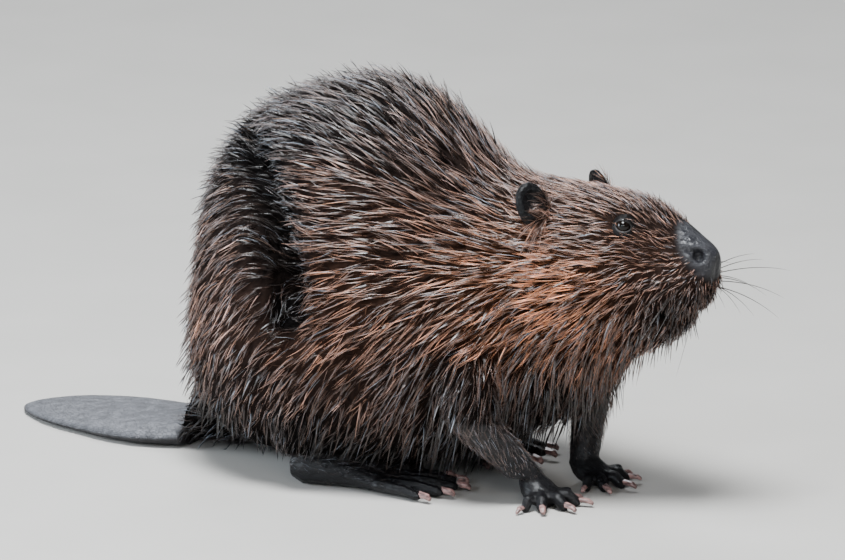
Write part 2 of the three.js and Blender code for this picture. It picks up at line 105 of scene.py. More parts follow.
CAMERA_AZIMUTH = 31.0  # degrees round from the animal's right side, and above the floor
CAMERA_ELEVATION = 14.0
CAMERA_DISTANCE = 12.0
CAMERA_TARGET = Vector((35, 27, 144.5)) * MM
CAMERA_SENSOR = 36.0
CAMERA_REACH = 200.0
VIEW_WIDTH = 0.660  # across the picture, at the target


def link(obj):
    bpy.context.scene.collection.objects.link(obj)
    return obj


def make_camera():
    azimuth, elevation = math.radians(CAMERA_AZIMUTH), math.radians(CAMERA_ELEVATION)
    level = math.cos(elevation)
    back = Vector((math.sin(azimuth) * level, -math.cos(azimuth) * level, math.sin(elevation)))
    data = bpy.data.cameras.new("camera")
    data.sensor_width = CAMERA_SENSOR
    data.lens = CAMERA_SENSOR * CAMERA_DISTANCE / VIEW_WIDTH
    data.clip_end = CAMERA_REACH
    camera = link(bpy.data.objects.new("camera", data))
    camera.location = CAMERA_TARGET + back * CAMERA_DISTANCE
    camera.rotation_euler = (-back).to_track_quat("-Z", "Y").to_euler()
    bpy.context.scene.camera = camera


make_camera()

# ---------------- places on the frame


def corners(node):
    low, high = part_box(node)
    return np.array(low), np.array(high)


def middle(node):
    low, high = corners(node)
    return (low + high) / 2


CLAWS = sorted(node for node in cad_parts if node.startswith("claw_"))
EYE_NODES = [f"eye_{side}" for side in SIDES]
FLESH = sorted(set(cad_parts) - set(CLAWS) - set(EYE_NODES))
EYE = {side: middle(f"eye_{side}") for side in SIDES}
EYE_RADIUS = (corners("eye_right")[1] - corners("eye_right")[0]).max() / 2
EYE_AXIS = {side: unit(np.array([0.30, 0.93 * sign, 0.2])) for side, sign in SIDES.items()}


def node_kind(node):
    return node.removesuffix("_right").removesuffix("_left")


KINDS = np.array([node_kind(node) for node in FLESH])

# ---------------- the lie of the coat
# Places down the side of the animal, each with what the coat does there:
#   x, z      the place
#   fall      the way the hair points, in degrees down from straight back
#   length    of the locks
#   stand     how far the locks stand off the coat's own surface, as a share of its depth
#   rust      how reddish
#   dark      how near to black, or below 0 how much paler

LIE = [
    # place              x    z   fall length stand rust  dark
    ("nose bridge",     288, 231, -10,   4.0, 0.7, 0.00, 0.55),
    ("brow",            270, 240, -58,  12.0, 2.7, 0.05, 0.45),
    ("crown",           225, 246,  -4,  13.0, 0.9, 0.10, 0.00),
    ("nape",            170, 250,  -6,  18.0, 1.0, 0.20, 0.05),
    ("snout side",      280, 216, -22,   8.0, 1.3, 0.35, -0.95),
    ("whisker pad",     302, 182,  82,   6.5, 1.7, 0.20, -0.35),
    ("cheek front",     284, 190,  48,   9.0, 1.4, 0.30, -0.45),
    # the mouth corner's darkness is painted shade in its hollow
    ("mouth corner",    287, 162,  70,   4.0, 0.8, 0.00, 0.90),
    ("under the eye",   260, 206,  32,  12.0, 1.1, 0.40, -0.15),
    ("behind the eye",  228, 224,  12,  14.0, 0.9, 0.35, 0.00),
    ("cheek",           232, 182,  16,  23.0, 1.2, 0.80, 0.00),
    ("cheek back",      196, 180,  12,  28.0, 1.3, 0.95, 0.15),
    ("cheek low",       228, 152,  30,  23.0, 1.3, 0.85, 0.00),
    ("jaw",             260, 148,  58,  13.0, 1.4, 0.35, 0.00),
    ("chin",            280, 140,  66,  10.0, 1.9, 0.20, 0.10),
    ("throat",          232, 118,  76,  20.0, 1.3, 0.60, 0.10),
    ("chest",           200,  88,  84,  20.0, 1.2, 0.15, 0.70),
    ("neck top",        142, 242, -16,  24.0, 1.2, 0.20, 0.05),
    ("neck side",       160, 195,   8,  26.0, 1.2, 0.80, 0.15),
    ("neck low",        165, 145,  36,  26.0, 1.3, 0.80, 0.10),
    ("shoulder",        130, 150,  42,  26.0, 1.2, 0.45, -0.10),
    ("shoulder low",    128, 100,  54,  24.0, 1.2, 0.20, 0.00),
    ("elbow",           140,  62,  60,  18.0, 1.3, 0.05, 0.60),
    ("hump front",       90, 262, -32,  28.0, 1.2, 0.10, 0.00),
    ("hump top",         20, 305, -24,  28.0, 1.4, 0.00, 0.10),
    ("back",            -45, 296,  -2,  28.0, 1.5, 0.00, 0.42),
    ("rump top",        -95, 262,   8,  27.0, 1.9, 0.00, 0.45),
    ("flank front",      80, 205,   2,  27.0, 1.0, 0.35, 0.00),
    ("flank",            20, 210,   4,  26.0, 1.0, 0.25, 0.00),
    ("flank middle",     30, 168,  24,  25.0, 1.0, 0.50, -0.05),
    ("flank down",       30, 135,  42,  22.0, 1.0, 0.40, -0.20),
    ("flank low",        40,  85,  54,  18.0, 1.0, 0.20, -0.25),
    ("belly side",       30,  35,  48,  14.0, 1.0, 0.00, 0.85),
    # the darkness at the fold is painted shade in the crease
    ("fold",            -18, 205, -10,  24.0, 1.4, 0.10, 0.35),
    ("haunch top",      -60, 215,  20,  20.0, 1.1, 0.10, 0.10),
    ("haunch upper",    -70, 178,  46,  17.0, 1.0, 0.20, 0.10),
    ("haunch",          -55, 140,  58,  17.0, 1.0, 0.25, -0.30),
    ("haunch low",      -40,  75,  68,  14.0, 1.0, 0.15, 0.00),
    ("rump upper",     -115, 230,  34,  24.0, 1.6, 0.05, 0.40),
    ("rump rear",      -128, 190,  60,  18.0, 1.4, 0.15, 0.20),
    ("rump low",       -128, 100,  78,  18.0, 1.5, 0.30, 0.20),
    ("tail root",      -125,  35,  18,  20.0, 1.1, 0.10, 0.75),
    ("under the haunch", -60, 25,  72,  12.0, 1.0, 0.00, 0.85),
]
LIE_REACH = 20.0  # how far each place's say goes
LIE_PLACES = np.array([row[1:3] for row in LIE], float)
LIE_VALUES = np.array([row[3:] for row in LIE], float)
FALL, LENGTH, STAND, RUST, DARK = range(LIE_VALUES.shape[1])
LIE_BLOCK = 20000  # points taken at a time
DEPTH_SHARE = 0.21  # the coat's depth over the skin, as a share of the locks' length

# For each kind of node: the share of that length its hair has, and its strands of underfur and of
# guard hair to the square centimetre.
BODY_COAT = (1.0, 13, 10.8)
FACE_COAT = (1.0, 31, 32)
BARE = (0.0, 0, 0)
NODE_COAT = {
    "trunk": BODY_COAT,
    "rump": BODY_COAT,
    "thigh": BODY_COAT,
    "neck": (1.0, 15, 16),
    "head": FACE_COAT,
    "jaw": FACE_COAT,
    "ear": (0.7, 0, 110),
    "upper_arm": (0.8, 18, 18),
    "forearm": (0.55, 0, 28),
    "forefoot": BARE,
    "shank": (0.8, 20, 24),
    "hindfoot": (0.45, 0, 28),
    "tail_root": (0.9, 14, 10),
    "tail": BARE,
    "nose": BARE,
}
WRIST, ELBOW = 14.0, 60.0  # heights between which the forearm's hair grows to its full length

# The hair parts along the back's middle line: how far it turns outwards, how far from the line it has
# done so, and between which heights this grows.
PARTING = 0.16
PARTING_WIDTH = 40
PARTING_HEIGHTS = (60, 200)


def lie_of_coat(points):
    """fall, length, stand, rust and dark at each point, in the table's own units."""
    values = np.empty((len(points), LIE_VALUES.shape[1]))
    for start in range(0, len(points), LIE_BLOCK):
        block = points[start : start + LIE_BLOCK, [0, 2]] / MM
        squares = ((block[:, None] - LIE_PLACES[None]) ** 2).sum(2)
        squares -= squares.min(1, keepdims=True)
        weights = np.exp(-squares / (2 * LIE_REACH**2))
        values[start : start + LIE_BLOCK] = weights @ LIE_VALUES / weights.sum(1, keepdims=True)
    return values


def coat_share(points, kinds):
    """The share of the table's length that hair on each point's kind of node has."""
    share = np.zeros(len(points))
    for kind in set(kinds.tolist()):
        share[kinds == kind] = NODE_COAT[kind][0]
    return np.where(kinds == "forearm", share * smoothstep(WRIST, ELBOW, points[:, 2] / MM), share)


def hair_way(points, normals, fall):
    """The direction of the hair along the surface at each point."""
    angle = np.radians(fall)
    grown = smoothstep(*PARTING_HEIGHTS, points[:, 2] / MM)
    sideways = PARTING * np.tanh(points[:, 1] / (PARTING_WIDTH * MM)) * grown
    way = np.stack([-np.cos(angle), sideways, -np.sin(angle)], 1)
    return unit(across(way, normals) + 1e-6)


# Bare leather over the nose and up its bridge: a slanting egg.
LEATHER_CENTRE = np.array([302, 0, 214])
LEATHER_DOWN = np.array([0.68, 0, -0.73])
LEATHER_OUT = np.array([0.73, 0, 0.68])
LEATHER_UP_REACH = 20.0
LEATHER_DOWN_REACH = 25.0
LEATHER_OUT_REACH = 22
LEATHER_WIDTH = 16.5
LEATHER_FLARE = 0.16  # how much wider it grows for each 1 down


def leather_distance(points):
    """The distance from the leather's middle, where 1 is its edge."""
    offset = points / MM - LEATHER_CENTRE
    down = offset @ LEATHER_DOWN
    out = offset @ LEATHER_OUT / LEATHER_OUT_REACH
    aside = offset[:, 1] / (LEATHER_WIDTH + LEATHER_FLARE * down)
    reach = np.where(down < 0, LEATHER_UP_REACH, LEATHER_DOWN_REACH)
    return np.sqrt((down / reach) ** 2 + out**2 + aside**2)


# ---------------- the skin

VOXEL = 1.7 * MM
SPREADING = 0.6  # how much of each value its neighbours give, at each step
RELAXING = (0.55, -0.57)  # how far a point moves to its neighbours' middle, and back out


class Surface:
    """Points and quads, with the neighbours that smoothing needs."""

    def __init__(self, points, quads):
        self.points = points
        self.quads = quads
        pairs = np.concatenate([quads[:, [i, (i + 1) % 4]] for i in range(4)])
        pairs = np.unique(np.sort(pairs, axis=1), axis=0)
        self.ends = np.concatenate([pairs, pairs[:, ::-1]])
        self.degree = np.bincount(self.ends[:, 0], minlength=len(points))[:, None]

    def around(self, values):
        """The mean of each point's neighbours."""
        sums = [
            np.bincount(self.ends[:, 0], values[self.ends[:, 1], k], len(values))
            for k in range(values.shape[1])
        ]
        return np.stack(sums, 1) / self.degree

    def spread(self, values, steps):
        values = values.reshape(len(values), -1)
        for _ in range(steps):
            values = (1 - SPREADING) * values + SPREADING * self.around(values)
        return values

    def relax(self, weight, steps):
        """Smooths the shape without shrinking it, by a step in and a step out."""
        for _ in range(steps):
            for push in RELAXING:
                self.points = self.points + push * weight * (self.around(self.points) - self.points)

    def normals(self):
        a, b, c, d = (self.points[self.quads[:, i]] for i in range(4))
        faces = np.cross(c - a, d - b)
        total = np.zeros_like(self.points)
        for i in range(4):
            for k in range(3):
                total[:, k] += np.bincount(self.quads[:, i], faces[:, k], len(self.points))
        return unit(total)

    def tree(self):
        return BVHTree.FromPolygons(self.points.tolist(), self.quads.tolist())


def join_flesh():
    """The flesh nodes as one mesh object, with the node that each face came from."""
    joined = bmesh.new()
    owners = []
    for index, node in enumerate(FLESH):
        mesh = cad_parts[node].data
        joined.from_mesh(mesh)
        owners += [index] * len(mesh.polygons)
    mesh = bpy.data.meshes.new("flesh")
    joined.to_mesh(mesh)
    joined.free()
    return link(bpy.data.objects.new("flesh", mesh)), np.array(owners)


def arrays_of(mesh):
    points = np.empty(len(mesh.vertices) * 3)
    mesh.vertices.foreach_get("co", points)
    loops = np.empty(len(mesh.loops), np.int32)
    mesh.loops.foreach_get("vertex_index", loops)
    return points.reshape(-1, 3), loops


def remeshed(obj, voxel):
    modifier = obj.modifiers.new("remesh", "REMESH")
    modifier.mode = "VOXEL"
    modifier.voxel_size = voxel
    evaluated = obj.evaluated_get(bpy.context.evaluated_depsgraph_get())
    points, loops = arrays_of(evaluated.to_mesh())
    evaluated.to_mesh_clear()
    return Surface(points, loops.reshape(-1, 4))


def nearest_owner(points, obj, owners):
    """The index in FLESH of the node nearest to each point."""
    mesh = obj.data
    tree = BVHTree.FromPolygons(
        [v.co for v in mesh.vertices], [tuple(p.vertices) for p in mesh.polygons]
    )
    return np.array([owners[tree.find_nearest(point)[2]] for point in points.tolist()])

# How freely each kind of node's facets may be smoothed away: the others freely.
FREEDOM = {"ear": 0.12, "nose": 0.35, "forefoot": 0.06, "hindfoot": 0.06, "tail": 0.3, "forearm": 0.6}
SMOOTHING_STEPS = 90
FREEDOM_SPREAD = 8  # steps, between nodes that are more free and less
DEPTH_SPREAD = 14  # steps, between deeper and shallower coats
LAST_FREEDOM = 0.5  # at most, in the last smoothing under the coat
LAST_SPREAD = 4
LAST_STEPS = 6
EAR_SWELL = -0.9  # how deep the ears' skin lies: outside, for the thin edges that remeshing wears away
DEPTH_EDGE = (0.9, 1.7)  # leather distances between which the coat grows to its full depth
SOCKET_GAP = 0.5 * MM  # between an eyeball and the cup it sits in
NOSTRIL = (306.5, 11.8, 206.5)
NOSTRIL_RIM = {"radius": 7.4, "width": 2.6, "height": 0.6}
MOUTH_CORNER = (283.0, 25.0, 161.5)
MOUTH_CORNER_REACH = (5, 5, 7)

# Hollows and swellings pressed into the head on both sides: place, reach along x, y and z, and height.
HEAD_FORMS = [
    ("nostril",            NOSTRIL,               (3.8, 3.8, 4.6), -7.0),
    ("nostril's slit",     (301.5, 15.0, 210.5), (4.6, 4.0, 2.2), -3.4),
    ("parting",            (317.0,  0.0, 197.0), (7.0, 1.8, 11.0), -1.8),
    ("pad's lower edge",   (306.0, 17.0, 194.5), (7.0, 9.0, 2.4), -1.6),
    ("whisker pad",        (301.0, 19.0, 180.0), (12.0, 12.0, 11.0), 2.4),
    ("mouth corner",       MOUTH_CORNER,          (5.0, 6.0, 6.0), -3.4),
    ("upper lip",          (296.0, 15.0, 165.5), (9.0, 11.0, 5.0), 2.2),
    ("chin",               (280.0, 12.0, 145.0), (9.0, 13.0, 5.0), 1.6),
    ("brow ridge",         (254.0, 22.0, 238.5), (15.0, 10.0, 6.0), 1.8),
    ("eye's front corner", (260.5, 27.0, 224.0), (7.0, 8.0, 3.0), -1.4),
    ("snout hollow",       (275.0, 22.0, 216.0), (13.0, 12.0, 9.0), -1.6),
]

# The line where the lips meet, from under the nose to the corner of the mouth.
MOUTH_LINE = [(299, 0, 161), (295, 8, 157), (290, 15, 154.5), (285.5, 22, 156), (282.5, 25.5, 162)]
MOUTH_WIDTH = 2.2
MOUTH_DEPTH = 2.8

# The deep crease in front of the haunch, down from the rump.
FOLD_LINE = [
    (-85, 34, 262), (-54, 67, 246), (-35, 84, 228), (-23, 91, 210), (-11, 100, 190), (-3, 106, 168),
    (-2, 112, 142),
]
FOLD_WIDTH = 12.0
FOLD_DEPTH = 13.0
FOLD_REACH = 1.6 * FOLD_WIDTH  # of its painted shade and its short hair
FOLD_CROP = 0.6  # how much shorter the coat is beside it


def fold_share(points, width=FOLD_WIDTH):
    """How near the crease each point is, from 0 to 1."""
    away = distance_to_line(mirrored_sides(points), FOLD_LINE)
    return np.exp(-((away / width) ** 2))


def mouth_corner_distance(points):
    """The distance from the corner of the mouth, where 1 is the edge of its hollow."""
    return np.linalg.norm((mirrored_sides(points) - MOUTH_CORNER) / MOUTH_CORNER_REACH, axis=1)


def press_forms(skin):
    folded = mirrored_sides(skin.points)
    height = np.zeros(len(folded))
    for _, place, reach, rise in HEAD_FORMS:
        height += rise * np.exp(-(((folded - place) / reach) ** 2).sum(1))
    rim = np.linalg.norm(folded - NOSTRIL, axis=1) - NOSTRIL_RIM["radius"]
    height += NOSTRIL_RIM["height"] * np.exp(-((rim / NOSTRIL_RIM["width"]) ** 2))
    height -= MOUTH_DEPTH * np.exp(-((distance_to_line(folded, MOUTH_LINE) / MOUTH_WIDTH) ** 2))
    height -= FOLD_DEPTH * fold_share(skin.points)
    skin.points += skin.normals() * (height * MM)[:, None]


def carve_sockets(skin):
    """A cup behind each eyeball."""
    for side in SIDES:
        axis = EYE_AXIS[side]
        offset = skin.points - EYE[side]
        height = offset @ axis
        away = np.linalg.norm(offset - height[:, None] * axis, axis=1)
        radius = EYE_RADIUS + SOCKET_GAP
        inside = (away < radius) & (np.abs(height) < 4 * EYE_RADIUS)
        cup = -np.sqrt(np.maximum(radius**2 - away**2, 0))
        lowered = np.minimum(height, cup)
        skin.points[inside] += ((lowered - height)[:, None] * axis)[inside]


def coat_depth(skin, kinds):
    """How far under its outline the skin lies at each point."""
    length = lie_of_coat(skin.points)[:, LENGTH] * coat_share(skin.points, kinds)
    length *= smoothstep(*DEPTH_EDGE, leather_distance(skin.points))
    length = np.where(kinds == "ear", EAR_SWELL / DEPTH_SHARE, length)
    return skin.spread(length * DEPTH_SHARE * MM, DEPTH_SPREAD)


def make_skin():
    """The skin under the coat, with each point's node as its number in FLESH."""
    flesh, owners = join_flesh()
    skin = remeshed(flesh, VOXEL)
    owner = nearest_owner(skin.points, flesh, owners)
    bpy.data.objects.remove(flesh)

    freedom = np.array([FREEDOM.get(kind, 1.0) for kind in KINDS])[owner]
    skin.relax(skin.spread(freedom, FREEDOM_SPREAD), SMOOTHING_STEPS)
    depth = coat_depth(skin, KINDS[owner])
    skin.points = skin.points - skin.normals() * depth
    skin.relax(skin.spread(np.minimum(freedom, LAST_FREEDOM), LAST_SPREAD), LAST_STEPS)
    press_forms(skin)
    carve_sockets(skin)
    skin.points[:, 2] = np.maximum(skin.points[:, 2], 0)
    return skin, owner


skin, owner = make_skin()
kind_at = KINDS[owner]
skin_normals = skin.normals()
skin_tree = skin.tree()

# ---------------- colours

BROWN_HAIR = np.array([0.098, 0.073, 0.066])
RUSTY_HAIR = np.array([0.320, 0.122, 0.052])
BLACK_HAIR = np.array([0.009, 0.008, 0.008])
LEATHER = np.array([0.0045, 0.0042, 0.0050])
# the nose's leather: its own dark grey, made paler by a painted highlight of the wet bridge
NOSE_GREY_AND_HIGHLIGHT = np.array([0.0150, 0.0150, 0.0185])
TAIL_GREY = np.array([0.105, 0.106, 0.116])
# painted shade on the tail's rim and underside
TAIL_PAINTED_SHADE_GREY = np.array([0.022, 0.021, 0.023])
EAR_BLACK = np.array([0.0018, 0.0018, 0.0022])
SKIN_SHADE = 0.07  # how much of its hair's colour the skin under it has

LOW_DARK = 0.85  # how dark the coat is at least near the floor
LOW_HEIGHTS = (75, 20)  # from none of that to all of it
LEAST_DARK = {"shank": 0.75, "forefoot": 0.75, "hindfoot": 0.75, "upper_arm": 0.6}
FOREARM_DARK = 0.5
FOLD_PAINTED_SHADE = 1.4  # painted shade in the crease, at its middle, before the limit
# the most painted shade in the crease
MOST_FOLD_PAINTED_SHADE = 0.97
MOUTH_PAINTED_SHADE = (1.3, 0.7)  # painted shade in the mouth's corner: distances from none of it to all of it
EAR_SHADE = (4, 0)  # millimetres in front of the ear's middle, from its brown front to its black back


def markings(points, kinds):
    """The coat's colour at each point, the same for skin and hair, with painted shade in the crease before
    the haunch and in the corner of the mouth.
    """
    lie = lie_of_coat(points)
    rust, dark = lie[:, RUST], lie[:, DARK]
    pale = 1 + np.clip(-dark, 0, 1)
    dark = np.maximum(dark, LOW_DARK * smoothstep(*LOW_HEIGHTS, points[:, 2] / MM))
    for kind, least in LEAST_DARK.items():
        dark = np.where(kinds == kind, np.maximum(dark, least), dark)
    dark = np.where(kinds == "forearm", FOREARM_DARK, dark)
    dark = np.where(kinds == "ear", smoothstep(*EAR_SHADE, ear_front(points)), dark)
    # painted shade in the crease before the haunch
    dark = np.maximum(dark, np.minimum(FOLD_PAINTED_SHADE * fold_share(points, FOLD_REACH), MOST_FOLD_PAINTED_SHADE))
    # painted shade in the corner of the mouth
    dark = np.maximum(dark, smoothstep(*MOUTH_PAINTED_SHADE, mouth_corner_distance(points)))
    brown = blend(BROWN_HAIR[None], RUSTY_HAIR, np.clip(rust, 0, 1)) * pale[:, None]
    return blend(brown, BLACK_HAIR, np.clip(dark, 0, 1))


def ear_front(points):
    """How far in front of its ear's upright middle each point is, in millimetres."""
    middles = np.array([middle("ear_right"), middle("ear_left")])
    own = middles[(points[:, 1] > 0).astype(int)]
    return (points - own)[:, 0] / MM


TAIL_HEIGHTS = (9 * MM, 21 * MM)  # of its upper side, at its tip and at its root
TAIL_SHADE = (0.62, 0.30)  # shares of that height between which the painted shade of its rim and underside sets in


def tail_painted_shade(points):
    """How much painted shade each point of the tail has towards its rim and underside, from 0 to 1."""
    low, high = corners("tail")
    top = np.interp(points[:, 0], [low[0], high[0]], TAIL_HEIGHTS)
    return smoothstep(*TAIL_SHADE, points[:, 2] / top)


# ---------------- materials


class Nodes:
    """A short way to write a material's nodes. A value is a number, a colour or a node's output."""

    def __init__(self, name):
        self.material = bpy.data.materials.new(name)
        self.material.use_nodes = True
        self.tree = self.material.node_tree
        self.shader = self.tree.nodes["Principled BSDF"]

    def plug(self, socket, value):
        if isinstance(value, bpy.types.NodeSocket):
            self.tree.links.new(value, socket)
        else:
            socket.default_value = value

    def add(self, kind, output, inputs=None, **settings):
        """The output of a new node with these settings and inputs."""
        node = self.tree.nodes.new("ShaderNode" + kind)
        for key, value in settings.items():
            setattr(node, key, value)
        for key, value in (inputs or {}).items():
            self.plug(node.inputs[key], value)
        return node.outputs[output]

    def feed(self, **values):
        """Gives values to the shader itself."""
        for key, value in values.items():
            self.plug(self.shader.inputs[key.replace("_", " ")], value)

    def mask(self, name):
        return self.add("Attribute", "Fac", attribute_name=name)

    def coat_colour(self):
        return self.add("Attribute", "Color", attribute_name="Coat")

    def place(self, scale=(1, 1, 1)):
        """Object coordinates, stretched."""
        place = self.add("TexCoord", "Object")
        return self.add("Mapping", "Vector", {"Vector": place, "Scale": scale})

    def height(self):
        """The height over the floor."""
        return self.add("SeparateXYZ", "Z", {"Vector": self.place()})

    def noise(self, scale, detail, stretch=(1, 1, 1)):
        inputs = {"Vector": self.place(stretch), "Scale": scale, "Detail": detail}
        return self.add("TexNoise", "Fac", inputs)

    def cells(self, scale, stretch=(1, 1, 1)):
        """The distance to the edge of each cell."""
        inputs = {"Vector": self.place(stretch), "Scale": scale}
        return self.add("TexVoronoi", "Distance", inputs, feature="DISTANCE_TO_EDGE")

    def ramp(self, value, low, high, start=0.0, end=1.0):
        inputs = {"Value": value, "From Min": low, "From Max": high, "To Min": start, "To Max": end}
        return self.add("MapRange", "Result", inputs, interpolation_type="SMOOTHSTEP")

    def uneven(self, scale, detail, low, high):
        """A value that wanders from low to high."""
        return self.ramp(self.noise(scale, detail), 0.3, 0.7, low, high)

    def math(self, operation, a, b):
        return self.add("Math", 0, {0: a, 1: b}, operation=operation)

    def times(self, a, b):
        return self.math("MULTIPLY", a, b)

    def plus(self, a, b):
        return self.math("ADD", a, b)

    def vector(self, operation, output, *values):
        return self.add("VectorMath", output, dict(enumerate(values)), operation=operation)

    def mix(self, factor, a, b):
        return self.add("Mix", 2, {0: factor, 6: a, 7: b}, data_type="RGBA")

    def tint(self, colour, value):
        """The colour times a grey value."""
        return self.add("VectorMath", 0, {0: colour, "Scale": value}, operation="SCALE")

    def bump(self, height, distance):
        self.feed(Normal=self.add("Bump", "Normal", {"Height": height, "Distance": distance}))


def coat_material(name, roughness, specular):
    """Hair that shines most towards its tips, and least low down, where it mirrors the pale floor."""
    nodes = Nodes(name)
    patches = nodes.uneven(45, 3, 0.72, 1.28)
    away = nodes.ramp(nodes.mask("along"), 0.05, 0.45, 0.1, specular)
    high = nodes.ramp(nodes.height(), 0.02, 0.14, 0.5, 1.0)
    nodes.feed(
        Base_Color=nodes.tint(nodes.coat_colour(), patches),
        Roughness=nodes.uneven(90, 2, roughness * 0.8, roughness * 1.35),
        Specular_IOR_Level=nodes.times(away, high),
    )
    return nodes.material


def skin_bumps(nodes, furry, bare, tail):
    """Streaks under the hair, wrinkles and pebbles on bare leather, and scales on the tail."""
    streaks = nodes.noise(260, 3, (0.35, 1, 1))
    wrinkles = nodes.times(nodes.noise(380, 2, (0.4, 1, 1)), 1.3)
    pebbles = nodes.plus(nodes.ramp(nodes.cells(1000), 0.0, 0.10, 0.0, 0.15), wrinkles)
    scales = nodes.ramp(nodes.cells(300, (0.8, 1.25, 1)), 0.0, 0.09, 0.0, 0.5)
    hairless = nodes.plus(nodes.times(bare, pebbles), nodes.times(tail, scales))
    return nodes.plus(nodes.times(furry, streaks), hairless)


def skin_material():
    """Hair-covered skin, bare black leather, and the tail's scales, mixed by the masks on the mesh."""
    nodes = Nodes("skin")
    tail, bare = nodes.mask("tail"), nodes.mask("bare")
    furry = nodes.math("SUBTRACT", 1.0, nodes.math("MAXIMUM", tail, bare))
    mottle = nodes.ramp(nodes.noise(120, 5), 0.25, 0.75, 0.7, 1.3)
    duller = nodes.plus(nodes.times(tail, 0.12), nodes.times(furry, 0.45))
    wet = nodes.ramp(furry, 0.0, 1.0, 0.42, 0.03)
    ear = nodes.ramp(nodes.mask("ear"), 0.0, 1.0, 1.0, 0.4)
    high = nodes.ramp(nodes.height(), 0.02, 0.06, 0.55, 1.0)
    nodes.feed(
        Base_Color=nodes.tint(nodes.coat_colour(), mottle),
        Roughness=nodes.plus(nodes.uneven(70, 4, 0.26, 0.42), duller),
        Specular_IOR_Level=nodes.times(nodes.times(wet, ear), high),
    )
    nodes.bump(skin_bumps(nodes, furry, bare, tail), 0.0009)
    return nodes.material


def horn_material():
    nodes = Nodes("claw_horn")
    streaks = nodes.noise(500, 4, (0.3, 1, 1))
    pale = nodes.ramp(streaks, 0.3, 0.7)
    nodes.feed(
        Base_Color=nodes.mix(pale, (0.070, 0.042, 0.040, 1), (0.34, 0.20, 0.185, 1)),
        Roughness=nodes.uneven(300, 2, 0.25, 0.45),
    )
    nodes.bump(streaks, 0.0002)
    return nodes.material


def eye_material(side):
    """Dark brown iris with a black pupil, by the angle from the eye's axis."""
    nodes = Nodes(f"eye_{side}")
    offset = nodes.vector("SUBTRACT", 0, nodes.add("TexCoord", "Object"), EYE[side])
    facing = nodes.vector("DOT_PRODUCT", "Value", nodes.vector("NORMALIZE", 0, offset), EYE_AXIS[side])
    iris = nodes.ramp(facing, 0.93, 0.90)
    brown = nodes.mix(iris, (0.0015, 0.0012, 0.001, 1), (0.0045, 0.0030, 0.0022, 1))
    rays = nodes.uneven(900, 3, 0.5, 1.5)
    nodes.feed(Base_Color=nodes.tint(brown, rays), Roughness=0.05, Specular_IOR_Level=0.3)
    return nodes.material


def lid_material():
    nodes = Nodes("eyelid")
    folds = nodes.noise(700, 4)
    mottle = nodes.ramp(folds, 0.35, 0.65, 0.7, 1.3)
    nodes.feed(
        Base_Color=nodes.tint(nodes.coat_colour(), mottle),
        Roughness=nodes.uneven(400, 2, 0.40, 0.60),
        Specular_IOR_Level=0.12,
    )
    nodes.bump(folds, 0.0003)
    return nodes.material


def mottled_material(name, noise, dark, pale, roughness):
    """A plain material that wanders between two colours."""
    nodes = Nodes(name)
    nodes.feed(Base_Color=nodes.mix(nodes.noise(*noise), dark, pale), Roughness=roughness)
    return nodes.material


# ---------------- building meshes from arrays


def mesh_object(name, points, faces, material, smooth=True):
    """An object from points and equal-sided faces."""
    mesh = bpy.data.meshes.new(name)
    count, sides = faces.shape
    mesh.vertices.add(len(points))
    mesh.vertices.foreach_set("co", points.ravel())
    mesh.loops.add(count * sides)
    mesh.loops.foreach_set("vertex_index", faces.ravel().astype(np.int32))
    mesh.polygons.add(count)
    mesh.polygons.foreach_set("loop_start", np.arange(0, count * sides, sides, dtype=np.int32))
    mesh.update(calc_edges=True)
    if smooth:
        mesh.shade_smooth()
    mesh.materials.append(material)
    return link(bpy.data.objects.new(name, mesh))


def add_colour(obj, colour):
    layer = obj.data.color_attributes.new("Coat", "FLOAT_COLOR", "POINT")
    rgba = np.ones((len(colour), 4), np.float32)
    rgba[:, :3] = colour
    layer.data.foreach_set("color", rgba.ravel())


def add_mask(obj, name, values):
    layer = obj.data.attributes.new(name, "FLOAT", "POINT")
    layer.data.foreach_set("value", values.astype(np.float32))


def settle(obj, slot, *nodes):
    """Hangs a piece under the body's root and hides the frame's nodes that it replaces."""
    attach(obj, "root")
    if nodes:
        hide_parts(*nodes)
    return obj


# ---------------- skin object

LEATHER_EDGE = (1.45, 0.90)  # leather distances between which the leather's look sets in


def make_skin_object():
    obj = mesh_object("skin", skin.points, skin.quads, skin_material())

    def where(kinds, steps):
        """A mask of some kinds of node, with soft edges."""
        return skin.spread(np.isin(kind_at, kinds).astype(float), steps)[:, 0]

    leather = smoothstep(*LEATHER_EDGE, leather_distance(skin.points))
    bare = np.maximum(where(["forearm", "forefoot", "hindfoot"], 3), leather)
    tail = where(["tail"], 24)
    ear = where(["ear"], 2)
    colour = markings(skin.points, kind_at) * SKIN_SHADE
    # the nose's leather carries a painted highlight of its wet bridge
    for other, share in ((LEATHER, bare), (NOSE_GREY_AND_HIGHLIGHT, leather), (EAR_BLACK, ear)):
        colour = blend(colour, other, share)
    # the tail's grey, with painted shade on its rim and underside
    tail_colour = blend(TAIL_GREY[None], TAIL_PAINTED_SHADE_GREY, tail_painted_shade(skin.points))
    add_colour(obj, blend(colour, tail_colour, tail))
    add_mask(obj, "tail", tail)
    add_mask(obj, "bare", np.maximum(bare, ear))
    add_mask(obj, "ear", ear)
    settle(obj, "skin", *FLESH)


make_skin_object()

# ---------------- the coat

STRAND_SIDES = 3
PIECE_TRIANGLES = 190000
DENSITY = 1.0
SQUARE_CM = 1e-4
CLUMPED = 24.0  # the locks' length, in millimetres, at which clumps are as dense as a Form says
FLOOR_GAP = 0.3 * MM
TURNS = full_turn(STRAND_SIDES)


